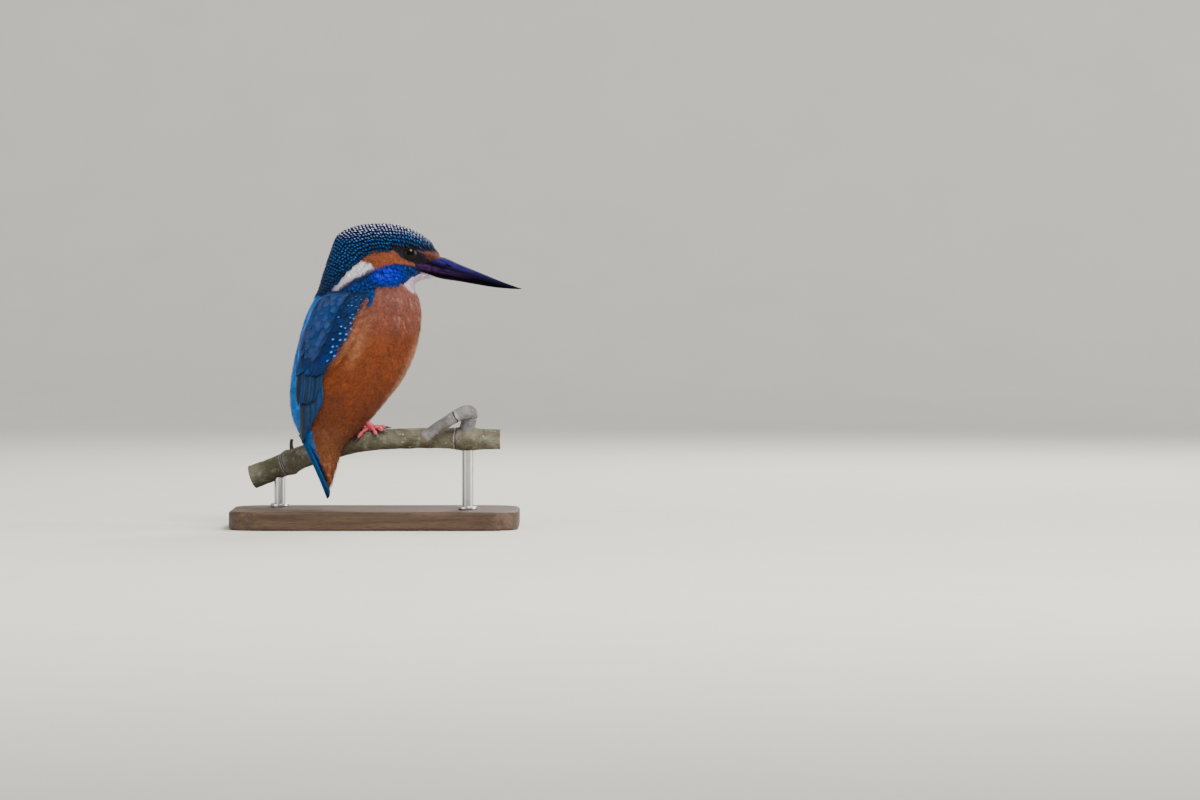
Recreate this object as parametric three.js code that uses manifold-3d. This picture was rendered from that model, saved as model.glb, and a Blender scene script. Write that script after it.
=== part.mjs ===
// A common kingfisher, life size, perched upright on a short cut length of branch that two rods
// hold over a flat base. Millimetres, +Z up, +X the way the bill points, origin under the base.
import * as THREE from "three";
import { mergeVertices } from "three/addons/utils/BufferGeometryUtils.js";
import Module from "manifold-3d";

const wasm = await Module();
wasm.setup();

// ---- Driving sizes ----
const GAP = 0.3; // clearance between neighbouring pieces
const BIRD_Y = -4; // the bird's own plane of symmetry
const SHORTEST_EDGE = 0.03; // shorter edges than this are closed up

const BASE = { length: 124, width: 76, height: 8, corner: 16, chamfer: 1.2 };
const ROD_RADIUS = 2.4;
const ROD_X = [-42, 40]; // where the rods stand under the branch

const EYE = { x: 15.9, z: 117.6, radius: 4.2, sunk: 3.2, rim: 2.95, lid: 0.5 };
const BILL = { base: 28.5, tip: 63, lowerTip: 57.3, gape: 17.6 };
const TAIL = { feathers: 12, thickness: 0.6, rootWidth: 3.4, tipWidth: 5.6 };
const TARSUS_RADIUS = 1.25;

// ---- Curves ----
// A smooth curve through rows of numbers, read at any share of its length: each column is one value.
function table(rows) {
  const last = rows.length - 1;
  return (share) => {
    const at = THREE.MathUtils.clamp(share, 0, 1) * last;
    const i = Math.min(Math.floor(at), last - 1);
    const t = at - i;
    const row = (k) => rows[THREE.MathUtils.clamp(k, 0, last)];
    return rows[0].map((_, c) => {
      const [a, b, d, e] = [row(i - 1)[c], row(i)[c], row(i + 1)[c], row(i + 2)[c]];
      const m = (d - a) / 2;
      const n = (e - b) / 2;
      return (
        (2 * t ** 3 - 3 * t ** 2 + 1) * b +
        (t ** 3 - 2 * t ** 2 + t) * m +
        (3 * t ** 2 - 2 * t ** 3) * d +
        (t ** 3 - t ** 2) * n
      );
    });
  };
}

// ---- Solids ----
function solidOf(geometry) {
  const plain = geometry.index ? geometry.toNonIndexed() : geometry.clone();
  const bare = new THREE.BufferGeometry();
  bare.setAttribute("position", plain.getAttribute("position"));
  const merged = mergeVertices(bare, 1e-4);
  return new wasm.Manifold(
    new wasm.Mesh({
      numProp: 3,
      vertProperties: merged.attributes.position.array,
      triVerts: new Uint32Array(merged.index.array),
    }),
  );
}

// Takes out the very short edges that cuts leave: the far end of each moves onto the near end,
// where that folds no face over and pinches nothing.
function withoutShortEdges(points, faces, shortest) {
  const near = points.map(() => new Set());
  faces.forEach((face, f) => face.forEach((v) => near[v].add(f)));
  const neighbours = (v) => new Set([...near[v]].flatMap((f) => faces[f]).filter((w) => w !== v));
  const normal = (face) => {
    const [a, b, c] = face.map((v) => points[v]);
    return b.clone().sub(a).cross(c.clone().sub(a));
  };
  const collapses = (a, b) => {
    if (points[a].distanceTo(points[b]) >= shortest) return false;
    const ofA = neighbours(a);
    if ([...neighbours(b)].filter((v) => ofA.has(v)).length !== 2) return false;
    return [...near[b]].every((f) => {
      if (faces[f].includes(a)) return true;
      const before = normal(faces[f]);
      const after = normal(faces[f].map((v) => (v === b ? a : v)));
      return before.length() < 1e-5 || (after.length() > 1e-7 && before.dot(after) > 0);
    });
  };
  const merge = (a, b) => {
    for (const f of [...near[b]])
      if (faces[f].includes(a)) {
        faces[f].forEach((v) => near[v].delete(f));
        faces[f] = null;
      } else {
        faces[f] = faces[f].map((v) => (v === b ? a : v));
        near[a].add(f);
        near[b].delete(f);
      }
  };
  for (let changed = true; changed; ) {
    changed = false;
    for (let f = 0; f < faces.length; f++)
      for (let k = 0; faces[f] && k < 3; k++) {
        const [a, b] = [faces[f][k], faces[f][(k + 1) % 3]];
        if (!collapses(a, b)) continue;
        merge(a, b);
        changed = true;
      }
  }
  return faces.filter((face) => face);
}

// Two corners at one place would pinch the surface there, so the later one is drawn in a little.
function partCoincident(points, faces) {
  const taken = new Set();
  for (const v of new Set(faces.flat())) {
    const key = points[v].toArray().map((n) => Math.round(n * 400)).join();
    if (taken.has(key)) {
      const out = new THREE.Vector3();
      for (const face of faces.filter((f) => f.includes(v))) {
        const [a, b, c] = face.map((w) => points[w]);
        out.add(b.clone().sub(a).cross(c.clone().sub(a)));
      }
      points[v].addScaledVector(out.normalize(), -0.02);
    }
    taken.add(key);
  }
}

// The closed surface of a solid. A hand of -1 gives its mirror image across the bird's own plane.
function geometryOf(solid, hand = 1) {
  const mesh = solid.getMesh();
  const points = [];
  for (let i = 0; i < mesh.numVert; i++) {
    const [x, y, z] = mesh.vertProperties.subarray(i * mesh.numProp, i * mesh.numProp + 3);
    points.push(new THREE.Vector3(x, hand > 0 ? y : 2 * BIRD_Y - y, z));
  }
  const faces = [];
  for (let i = 0; i < mesh.numTri; i++) {
    const [a, b, c] = mesh.triVerts.subarray(3 * i, 3 * i + 3);
    faces.push(hand > 0 ? [a, b, c] : [a, c, b]);
  }
  const kept = withoutShortEdges(points, faces, SHORTEST_EDGE);
  partCoincident(points, kept);
  const corners = kept.flat().flatMap((v) => points[v].toArray());
  const flat = new THREE.BufferGeometry();
  flat.setAttribute("position", new THREE.BufferAttribute(new Float32Array(corners), 3));
  return mergeVertices(flat, 1e-4);
}

// A closed skin over rings of points, with a fan over each end.
function loft(rings) {
  const around = rings[0].length;
  const points = rings.flat();
  const faces = [];
  for (let i = 0; i + 1 < rings.length; i++)
    for (let j = 0; j < around; j++) {
      const a = i * around + j;
      const b = i * around + ((j + 1) % around);
      faces.push(a, b, b + around, a, b + around, a + around);
    }
  [0, rings.length - 1].forEach((ring, end) => {
    const centre = rings[ring].reduce((sum, p) => sum.add(p), new THREE.Vector3());
    points.push(centre.divideScalar(around));
    for (let j = 0; j < around; j++) {
      const a = ring * around + j;
      const b = ring * around + ((j + 1) % around);
      faces.push(...(end ? [a, b, points.length - 1] : [b, a, points.length - 1]));
    }
  });
  const flat = new Float32Array(points.flatMap((p) => [p.x, p.y, p.z]));
  const made = solidOf(
    new THREE.BufferGeometry()
      .setAttribute("position", new THREE.BufferAttribute(flat, 3))
      .setIndex(faces),
  );
  return made;
}

// Turned right way out, whichever way its rings were wound.
function closed(rings) {
  const made = loft(rings);
  return made.volume() > 0 ? made : loft(rings.map((ring) => [...ring].reverse()));
}

function union(solids) {
  return solids.reduce((sum, s) => sum.add(s));
}

function largest(solid) {
  return solid.decompose().reduce((a, b) => (a.volume() > b.volume() ? a : b));
}

// A tube of given radii along points, closed at both ends.
function tube(points, radii, sides) {
  const curve = new THREE.CatmullRomCurve3(points);
  const frames = curve.computeFrenetFrames(points.length - 1, false);
  return closed(
    points.map((p, i) => {
      const ring = [];
      for (let j = 0; j < sides; j++) {
        const angle = (2 * Math.PI * j) / sides;
        ring.push(
          p
            .clone()
            .addScaledVector(frames.normals[i], radii[i] * Math.cos(angle))
            .addScaledVector(frames.binormals[i], radii[i] * Math.sin(angle)),
        );
      }
      return ring;
    }),
  );
}

function ball(centre, radius, across = 18, scale = [1, 1, 1]) {
  const g = new THREE.SphereGeometry(radius, across, Math.round(across / 2));
  g.rotateX(Math.PI / 2).scale(...scale).translate(centre.x, centre.y, centre.z);
  return solidOf(g);
}

// ---- The body: rings from the face back over the crown and down to the vent ----
// Each row: back line x, z; front line x, z; half width; how far the widest part drops.
const BODY = table([
  [28.6, 116.6, 26.2, 107.2, 4.3, 0.0],
  [26.2, 120.0, 23.2, 107.0, 5.9, 0.05],
  [22.8, 123.9, 20.6, 106.5, 7.4, 0.1],
  [17.6, 127.3, 18.7, 105.8, 8.9, 0.12],
  [10.8, 129.8, 17.4, 104.7, 10.3, 0.13],
  [3.9, 130.6, 17.1, 103.7, 11.3, 0.13],
  [-3.9, 130.3, 17.2, 102.6, 12.0, 0.12],
  [-11.6, 128.4, 17.7, 101.3, 12.4, 0.1],
  [-16.3, 125.0, 18.4, 100.0, 12.6, 0.09],
  [-18.7, 119.4, 19.0, 98.5, 12.9, 0.08],
  [-20.9, 113.1, 19.6, 96.6, 13.5, 0.06],
  [-22.6, 107.7, 19.9, 94.4, 14.4, 0.05],
  [-24.1, 102.6, 20.0, 91.8, 15.4, 0.05],
  [-26.9, 97.2, 19.9, 88.4, 16.4, 0.05],
  [-29.7, 91.4, 19.5, 84.5, 17.2, 0.06],
  [-31.8, 85.0, 18.6, 79.8, 17.8, 0.07],
  [-33.5, 78.1, 17.0, 74.2, 17.9, 0.08],
  [-35.1, 71.2, 14.4, 68.2, 17.6, 0.09],
  [-36.3, 64.3, 11.0, 62.2, 16.8, 0.1],
  [-36.8, 57.4, 6.2, 56.1, 15.5, 0.1],
  [-36.4, 50.6, 1.3, 50.1, 13.8, 0.09],
  [-34.6, 44.1, -3.9, 44.3, 11.5, 0.08],
  [-32.0, 38.9, -9.9, 38.3, 9.2, 0.06],
  [-29.4, 34.6, -13.7, 33.4, 7.5, 0.04],
  [-26.8, 30.4, -15.6, 28.6, 6.2, 0.02],
  [-24.4, 26.0, -16.9, 24.2, 5.0, 0.0],
  [-22.5, 21.4, -18.1, 19.9, 3.7, 0.0],
  [-21.4, 17.0, -19.6, 16.2, 2.0, 0.0],
]);
const STATIONS = 27;
const NECK_TOP = 9.1 / STATIONS; // behind the cheek and under the nape
const NECK_FOOT = 12.2 / STATIONS; // over the shoulders

// The half plane that a ring lies in, with the ring's middle, its back to front line and its sizes.
function station(s) {
  const [bx, bz, fx, fz, width, drop] = BODY(s);
  const back = new THREE.Vector3(bx, BIRD_Y, bz);
  const front = new THREE.Vector3(fx, BIRD_Y, fz);
  const up = back.clone().sub(front);
  const half = up.length() / 2;
  up.normalize();
  return { middle: back.add(front).multiplyScalar(0.5), up, half, width, drop };
}

// A point on the body: s runs from the face to the vent, angle from the back (0) to the front (pi),
// on the left side where angle is negative.
function bodyPoint(s, angle, out = 0) {
  const { middle, up, half, width, drop } = station(s);
  const side = (width + out) * Math.sin(angle) * (1 - drop * Math.cos(angle));
  return middle
    .clone()
    .addScaledVector(up, (half + out) * Math.cos(angle))
    .add(new THREE.Vector3(0, -side, 0));
}

// Where a point of the side view lies on the body, as [s, angle] of the right side.
function findOnBody(x, z, low = 0.02, high = 1) {
  const side = (s) => {
    const { middle, up } = station(s);
    return (x - middle.x) * -up.z + (z - middle.z) * up.x;
  };
  let [a, b] = [low, high];
  const start = Math.sign(side(a));
  for (let i = 0; i < 40; i++) {
    const m = (a + b) / 2;
    if (Math.sign(side(m)) === start) a = m;
    else b = m;
  }
  const { middle, up, half } = station(a);
  const along = ((x - middle.x) * up.x + (z - middle.z) * up.z) / half;
  return [a, Math.acos(THREE.MathUtils.clamp(along, -0.999, 0.999))];
}

// The body between two cuts, each set back along the bird by half a gap.
function bodyLength(from, to, steps, out = 0, around = 28) {
  const rings = [];
  for (let i = 0; i <= steps; i++) {
    const s = from + ((to - from) * i) / steps;
    const ring = [];
    for (let j = 0; j < around; j++)
      ring.push(bodyPoint(s, (2 * Math.PI * j) / around, out));
    rings.push(ring);
  }
  const inset = (ring, s, way) => {
    const { up } = station(s);
    const onward = new THREE.Vector3(up.z, 0, -up.x).multiplyScalar((way * GAP) / 2);
    ring.forEach((p) => p.sub(onward));
  };
  if (from > 0) inset(rings[0], from, 1);
  if (to < 1) inset(rings[steps], to, -1);
  return closed(rings);
}

// ---- Perch ----
// Each row: centre x, y, z and radius, from the left cut to the right cut.
const PERCH = table([
  [-53.8, 21.2, 20.9, 5.4],
  [-46.9, 19.6, 23.5, 5.2],
  [-40.5, 17.6, 26.2, 5.2],
  [-37.5, 16.6, 27.4, 5.9],
  [-34.5, 15.4, 28.7, 5.2],
  [-27.5, 12.6, 31.4, 5.0],
  [-19.5, 8.4, 33.7, 4.9],
  [-10.8, 2.2, 35.9, 4.7],
  [-3.5, -2.2, 37.2, 4.6],
  [4.0, -5.2, 38.0, 4.6],
  [12.0, -7.4, 38.4, 4.6],
  [22.0, -9.3, 38.7, 4.6],
  [32.0, -10.6, 38.6, 4.7],
  [37.0, -11.1, 38.5, 5.3],
  [41.0, -11.4, 38.4, 5.3],
  [46.0, -11.7, 38.3, 4.7],
  [54.0, -12.0, 38.2, 4.5],
]);
const SHOOT = [
  [39.2, -11.4, 39.0, 3.9],
  [40.2, -12.4, 45.0, 3.5],
  [41.2, -14.4, 49.4, 3.3],
  [38.4, -17.4, 49.8, 3.1],
  [33.6, -19.0, 47.4, 2.8],
  [27.6, -20.4, 43.6, 2.7],
  [21.8, -21.4, 39.4, 2.7],
];
const SPUR = [
  [-36.4, 16.2, 31.4, 1.5],
  [-37.0, 16.0, 35.2, 1.0],
  [-36.6, 15.7, 37.4, 1.0],
];

function perchAt(share) {
  const [x, y, z, radius] = PERCH(share);
  const ahead = PERCH(share + 0.005);
  const behind = PERCH(share - 0.005);
  const along = new THREE.Vector3(ahead[0] - behind[0], ahead[1] - behind[1], ahead[2] - behind[2]);
  along.normalize();
  const across = new THREE.Vector3(0, 0, 1).cross(along).normalize(); // towards the far side
  const top = along.clone().cross(across).normalize();
  return { centre: new THREE.Vector3(x, y, z), along, across, top, radius };
}

function perchShareAt(x) {
  let [a, b] = [0, 1];
  for (let i = 0; i < 30; i++) {
    const m = (a + b) / 2;
    if (PERCH(m)[0] < x) a = m;
    else b = m;
  }
  return a;
}

function branch(out = 0, steps = 34, sides = 14) {
  const rings = [];
  for (let i = 0; i <= steps; i++) {
    const { centre, across, top, radius } = perchAt(i / steps);
    const ring = [];
    for (let j = 0; j < sides; j++) {
      const angle = (2 * Math.PI * j) / sides;
      ring.push(
        centre
          .clone()
          .addScaledVector(across, (radius + out) * Math.cos(angle))
          .addScaledVector(top, (radius + out) * Math.sin(angle)),
      );
    }
    rings.push(ring);
  }
  return closed(rings);
}

const taperedTube = (rows, sides) =>
  tube(
    rows.map(([x, y, z]) => new THREE.Vector3(x, y, z)),
    rows.map((row) => row[3]),
    sides,
  );

const branchGrown = branch(GAP);
const perch = union([branch(), taperedTube(SHOOT, 10), taperedTube(SPUR, 6)]);

// ---- Stand ----
function roundedPlate() {
  const { length, width, height, corner, chamfer } = BASE;
  const [x, y, r] = [length / 2 - chamfer, width / 2 - chamfer, corner - chamfer];
  const outline = new THREE.Shape();
  outline.moveTo(-x + r, -y);
  outline.lineTo(x - r, -y);
  outline.absarc(x - r, -y + r, r, -Math.PI / 2, 0);
  outline.lineTo(x, y - r);
  outline.absarc(x - r, y - r, r, 0, Math.PI / 2);
  outline.lineTo(-x + r, y);
  outline.absarc(-x + r, y - r, r, Math.PI / 2, Math.PI);
  outline.lineTo(-x, -y + r);
  outline.absarc(-x + r, -y + r, r, Math.PI, 1.5 * Math.PI);
  const plate = new THREE.ExtrudeGeometry(outline, {
    depth: height - 2 * chamfer,
    curveSegments: 6,
    bevelThickness: chamfer,
    bevelSize: chamfer,
    bevelSegments: 1,
  });
  return solidOf(plate.translate(0, 0, chamfer));
}

// A rod stands on the base and its top is hollowed to the branch.
function standRod(x) {
  const { centre } = perchAt(perchShareAt(x));
  const foot = BASE.height + GAP;
  const g = new THREE.CylinderGeometry(ROD_RADIUS, ROD_RADIUS, centre.z - foot, 20);
  g.rotateX(Math.PI / 2).translate(centre.x, centre.y, (centre.z + foot) / 2);
  return largest(solidOf(g).subtract(branchGrown));
}

// ---- Feathers ----
// A vane: a thin, tapered blade that lies on the body at a height above it and follows its curve.
// root and tip are x, z of the side view; bend bows the line between them; lift is the height of
// its underside at the root and at the tip; lean raises one long edge over the other.
function vane({ root, tip, bend = 0, width, tipWidth = 0.5, lift, lean = 0.25, thick = 0.6, steps = 4 }) {
  const from = new THREE.Vector2(...root);
  const to = new THREE.Vector2(...tip);
  const line = to.clone().sub(from);
  const normal = new THREE.Vector2(-line.y, line.x).normalize();
  const rings = [];
  for (let i = 0; i <= steps; i++) {
    const t = i / steps;
    const bow = bend * Math.sin(Math.PI * t);
    const at = from.clone().addScaledVector(line, t).addScaledVector(normal, bow);
    const swell = t < 0.75 ? 0.8 + 0.27 * Math.sin((t / 0.75) * Math.PI * 0.6) : 1;
    const close = t < 0.75 ? 1 : Math.sqrt(1 - ((t - 0.75) / 0.25) ** 2 * (1 - tipWidth ** 2));
    const halfWidth = (width / 2) * swell * close;
    const height = lift[0] + (lift[1] - lift[0]) * t;
    const body = thick * (t < 1 ? 1 : 0.7);
    const edge = (side, up) => {
      const p = at.clone().addScaledVector(normal, side * halfWidth);
      const [s, angle] = findOnBody(p.x, p.y, NECK_TOP, 1);
      return bodyPoint(s, angle, height + up + side * lean);
    };
    rings.push([
      edge(-1, 0),
      edge(-1, body * 0.8),
      edge(0, body * 1.15),
      edge(1, body * 0.8),
      edge(1, 0),
    ]);
  }
  return closed(rings);
}

// A row of vanes: roots and tips run evenly between the first and last of each.
function tier({ count, roots, tips, widths, ...rest }) {
  const between = (pair, t) => pair[0].map((a, k) => a + (pair[1][k] - a) * t);
  return Array.from({ length: count }, (_, i) => {
    const t = count > 1 ? i / (count - 1) : 0;
    const middle = rest.arc ? rest.arc * Math.sin(Math.PI * t) : 0;
    const tip = between(tips, t);
    return vane({
      ...rest,
      root: between(roots, t),
      tip: [tip[0] + middle * 0.3, tip[1] - middle],
      width: widths[0] + (widths[1] - widths[0]) * t,
      lift: rest.lift.map((h) => h + (rest.climb ?? 0) * i + 0.031 * (i % 3)),
    });
  });
}

// The arm of the folded wing, a pad on the flank that every feather of the wing is rooted in.
// Each row: front edge x, z; back edge x, z; height.
const ARM = table([
  [-4.6, 98.6, -17.0, 104.2, 1.2],
  [-6.0, 96.0, -22.2, 99.6, 2.2],
  [-9.4, 91.2, -26.2, 92.4, 2.6],
  [-12.2, 84.2, -29.2, 85.6, 2.4],
  [-16.2, 76.4, -31.4, 77.8, 2.0],
  [-20.8, 69.6, -32.8, 70.6, 1.5],
  [-23.4, 62.6, -33.2, 63.4, 1.1],
  [-25.6, 55.6, -32.8, 56.0, 0.8],
]);

function wingArm() {
  const rings = [];
  const [lengthways, across] = [9, 7];
  for (let i = 0; i <= lengthways; i++) {
    const [fx, fz, bx, bz, height] = ARM(i / lengthways);
    const ring = [];
    const edge = (t, out) => {
      const [s, angle] = findOnBody(fx + (bx - fx) * t, fz + (bz - fz) * t, NECK_TOP, 1);
      return bodyPoint(s, angle, out);
    };
    for (let j = 0; j <= across; j++) {
      const t = j / across;
      ring.push(edge(t, 0.5 + (height - 0.2) * Math.sin(Math.PI * (0.12 + 0.76 * t))));
    }
    for (let j = across; j >= 0; j--) ring.push(edge(j / across, -0.4));
    rings.push(ring);
  }
  return closed(rings);
}

const WING_TIERS = [
  // primaries, longest towards the back, their tips stepped down to the tail
  { count: 6, roots: [[-24.6, 66], [-31.6, 66]], tips: [[-24.8, 46], [-29.6, 36.4]], widths: [4.4, 4.6],
    bend: 1.2, lift: [0.35, 0.35], climb: 0.13, tipWidth: 0.35 },
  // secondaries and tertials
  { count: 6, roots: [[-21.6, 75], [-31.8, 78]], tips: [[-24.2, 56.4], [-33.2, 54]], widths: [4.6, 5.2],
    lift: [0.9, 1.0], climb: 0.08, arc: 2.4 },
  // greater coverts
  { count: 7, roots: [[-14.6, 83], [-29.4, 86]], tips: [[-22.0, 64], [-32.0, 67]], widths: [4.4, 4.6],
    lift: [1.2, 1.65], climb: 0.04, arc: 1.6 },
  // median coverts
  { count: 6, roots: [[-9.6, 92], [-24.4, 94.5]], tips: [[-16.0, 75.4], [-28.6, 77]], widths: [4.8, 4.6],
    lift: [1.1, 2.2], arc: 1.2 },
  // lesser coverts
  { count: 5, roots: [[-6.2, 97.4], [-18.2, 101.2]], tips: [[-11.4, 85.2], [-23.6, 87]], widths: [4.6, 4.8],
    lift: [-0.1, 2.7], arc: 1.0, steps: 3 },
];
// scapulars, over the wing's back edge
const SCAPULARS = [
  { count: 4, roots: [[-17.8, 102.6], [-23.2, 99.6]], tips: [[-25.6, 80.4], [-30.8, 79.4]], widths: [5.0, 5.2],
    lift: [-0.1, 2.9], lean: 0.2, arc: 1.2 },
];

const torsoGrown = bodyLength(NECK_TOP, 1, 34, GAP);

function wing() {
  const feathers = [...WING_TIERS, ...SCAPULARS].flatMap(tier);
  return largest(union([wingArm(), ...feathers]).subtract(torsoGrown).subtract(tailGrown));
}

// ---- Tail ----
// The tail's middle line at its back face, from the rump to the tip: x, z.
const TAIL_LINE = table([
  [-32.9, 39.8],
  [-29.9, 33.8],
  [-26.6, 26.6],
  [-23.4, 19.2],
  [-20.7, 12.4],
]);

// One tail feather: side is its place across the tail, 0 in the middle and 1 outermost.
function tailFeather(side, hand) {
  const rings = [];
  const steps = 5;
  const reach = 1 - 0.09 * side ** 2;
  const depth = 0.32 * 5 * side; // how far it lies under the middle pair
  for (let i = 0; i <= steps; i++) {
    const t = (i / steps) * reach;
    const [x, z] = TAIL_LINE(t);
    const [x2, z2] = TAIL_LINE(Math.min(1, t + 0.02));
    const along = new THREE.Vector3(x2 - x, 0, z2 - z);
    if (along.length() < 1e-6) along.set(1, 0, -2.4);
    along.normalize();
    const inward = new THREE.Vector3(-along.z, 0, along.x).normalize();
    const spread = hand * (0.5 + side * (1.6 + 3.0 * t));
    const end = i / steps;
    const close = end < 0.8 ? 1 : Math.sqrt(1 - ((end - 0.8) / 0.2) ** 2 * 0.8);
    const width = (TAIL.rootWidth + (TAIL.tipWidth - TAIL.rootWidth) * t) * 0.5 * close;
    const thick = TAIL.thickness * (end < 1 ? 1 : 0.7);
    const at = (w, d) =>
      new THREE.Vector3(x, BIRD_Y + spread + w, z)
        .addScaledVector(inward, d + depth + Math.abs(w) * 0.1);
    rings.push([
      at(-width, 0),
      at(0, -0.12),
      at(width, 0),
      at(width, thick),
      at(0, thick),
      at(-width, thick),
    ]);
  }
  return closed(rings);
}

function tail() {
  const pairs = TAIL.feathers / 2;
  const feathers = [];
  for (let i = 0; i < pairs; i++)
    for (const hand of [1, -1]) feathers.push(tailFeather(i / (pairs - 1), hand));
  return union(feathers);
}

// One plain block round all the tail feathers, for clearing the pieces near them.
function tailRoom(out) {
  const rings = [];
  const steps = 6;
  for (let i = 0; i <= steps; i++) {
    const t = i / steps;
    const [x, z] = TAIL_LINE(t);
    const half = 2.1 + 3.0 * t + (TAIL.rootWidth + (TAIL.tipWidth - TAIL.rootWidth) * t) / 2 + out;
    const at = (y, d) => new THREE.Vector3(x + 0.9 * d, BIRD_Y + y, z + 0.4 * d + (i > 0 ? 0 : out));
    const [face, under] = [-0.2 - out, 0.32 * 5 + TAIL.thickness + 0.4 + out];
    rings.push([at(-half, face), at(half, face), at(half, under), at(0, under), at(-half, under)]);
  }
  return closed(rings);
}
const tailGrown = tailRoom(GAP);

// ---- Bill ----
// The line between the two halves of the bill: x, z, from the gape to the tip.
const TOMIUM = table([
  [17.6, 112.9],
  [23.0, 111.6],
  [29.0, 110.4],
  [37.0, 108.9],
  [46.0, 106.4],
  [54.5, 104.2],
  [63.0, 102.6],
]);
// Upper edge of the upper half and lower edge of the lower half: x, z along the same shares.
const CULMEN = table([
  [17.8, 113.5],
  [23.0, 114.3],
  [28.7, 116.7],
  [37.0, 113.2],
  [46.0, 109.4],
  [54.5, 105.9],
  [63.0, 102.75],
]);
const GONYS = table([
  [17.8, 112.1],
  [22.4, 109.0],
  [28.2, 107.1],
  [36.0, 105.9],
  [44.0, 104.5],
  [51.5, 103.3],
  [58.2, 102.7],
]);
const BILL_WIDTH = table([[0], [0], [4.3], [3.5], [2.6], [1.6], [0.25]]);

// Half of the section of either half of the bill: share of the width, share of the height.
const BILL_SECTION = [
  [1, 0],
  [0.97, 0.3],
  [0.74, 0.62],
  [0.36, 0.9],
];

// Half the bill's width at a share of its length: flush with the cheeks as far as the feathers reach.
function billWidth(t, out) {
  const [x, z] = TOMIUM(t);
  if (x >= BILL.base) return BILL_WIDTH(t)[0] + out;
  const [s, angle] = findOnBody(x, z, 0, NECK_TOP);
  const flush = BIRD_Y - bodyPoint(s, angle).y;
  return Math.max(flush + 0.12, BILL_WIDTH(2 / 6)[0]) + out;
}

function billHalf(edge, upper, out = 0, steps = 14) {
  const rings = [];
  const way = upper ? 1 : -1;
  for (let i = 0; i <= steps; i++) {
    const t = i / steps;
    const [line, z] = TOMIUM(t);
    const [ex, ez] = edge(t);
    const x = i > 0 ? line : line - out; // a grown half starts further back as well
    const w = billWidth(t, out) * (upper ? 1 : 0.94);
    const shut = z + way * (GAP / 2 - out);
    const height = ez + way * out - shut;
    const at = (side, rise) =>
      new THREE.Vector3(x + (ex - x) * Math.abs(rise), BIRD_Y + side * w, shut + height * Math.abs(rise));
    const section = BILL_SECTION.map(([side, rise]) => [Math.min(1, side + 0.4 * out), rise]);
    rings.push([
      ...section.map(([side, rise]) => at(-side, rise)),
      at(0, 1),
      ...[...section].reverse().map(([side, rise]) => at(side, rise)),
      at(0, 0),
    ]);
  }
  return closed(rings);
}

function billUpper() {
  const slit = (hand) => ball(new THREE.Vector3(31.4, BIRD_Y + hand * 3.05, 113.7), 1, 10, [1.5, 0.9, 0.4]);
  return billHalf(CULMEN, true).subtract(slit(1)).subtract(slit(-1));
}

// ---- Head ----
const EYE_TURN = 0.3; // how far each eye looks forwards of straight out, in radians

// The eyeball sits under the skin, back along the way that it looks.
function eyeCentre(hand) {
  const [s, angle] = findOnBody(EYE.x, EYE.z, 0, NECK_TOP);
  const surface = BIRD_Y - bodyPoint(s, angle).y;
  const [back, inward] = [EYE.sunk * Math.sin(EYE_TURN), EYE.sunk * Math.cos(EYE_TURN)];
  return new THREE.Vector3(EYE.x - back, BIRD_Y + hand * (surface - inward), EYE.z);
}

// The rim of skin round an eye, turned to face out and a little forwards.
function lids(hand) {
  const g = new THREE.TorusGeometry(EYE.rim, EYE.lid, 6, 20);
  g.rotateX(Math.PI / 2).rotateZ(hand * -EYE_TURN);
  const c = eyeCentre(hand);
  const out = EYE.sunk - 0.1;
  g.translate(c.x + out * Math.sin(EYE_TURN), c.y + hand * out * Math.cos(EYE_TURN), c.z);
  return solidOf(g);
}

function head() {
  const plain = bodyLength(0, NECK_TOP, 16, 0, 32);
  const withLids = union([plain, lids(1), lids(-1)]);
  const sockets = [1, -1].map((hand) => ball(eyeCentre(hand), EYE.radius + GAP, 20));
  const bite = [billHalf(CULMEN, true, GAP), billHalf(GONYS, false, GAP)];
  return largest([...sockets, ...bite].reduce((solid, tool) => solid.subtract(tool), withLids));
}

// ---- Legs ----
// Toes: how far each runs along the branch and round it, in mm and radians, and its length of claw.
const TOES = [
  { along: 8.2, round: 0.45, radius: 1.05 },
  { along: 7.4, round: 0.95, radius: 1.05 },
  { along: 4.4, round: 1.35, radius: 0.9 },
  { along: -4.4, round: 1.5, radius: 1.05 },
];
const FEET = { right: { x: -1.0, side: -1, hip: [-6.5, -5.6, 49.5] }, left: { x: -9.0, side: 1, hip: [-12, 5.6, 47.5] } };

function onPerch(share, round, out) {
  const { centre, across, top, radius } = perchAt(share);
  return centre
    .clone()
    .addScaledVector(top, (radius + out) * Math.cos(round))
    .addScaledVector(across, (radius + out) * Math.sin(round));
}

function toe({ along, round, radius }, foot) {
  const steps = 7;
  const start = perchShareAt(foot.x);
  const perMillimetre = perchShareAt(foot.x + 5) - perchShareAt(foot.x);
  const points = [];
  const radii = [];
  for (let i = 0; i <= steps; i++) {
    const t = i / steps;
    const claw = Math.max(0, t - 0.72) / 0.28;
    const knuckle = 1 + 0.12 * Math.sin(t * Math.PI * 5);
    const r = claw > 0 ? radius * (0.62 - 0.46 * claw) : radius * (1 - 0.25 * t) * knuckle;
    const share = start + (perMillimetre / 5) * along * t * 1.12;
    points.push(onPerch(share, foot.side * round * t * 1.12, GAP + r * 0.92 + 0.05));
    radii.push(r);
  }
  return tube(points, radii, 7);
}

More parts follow.
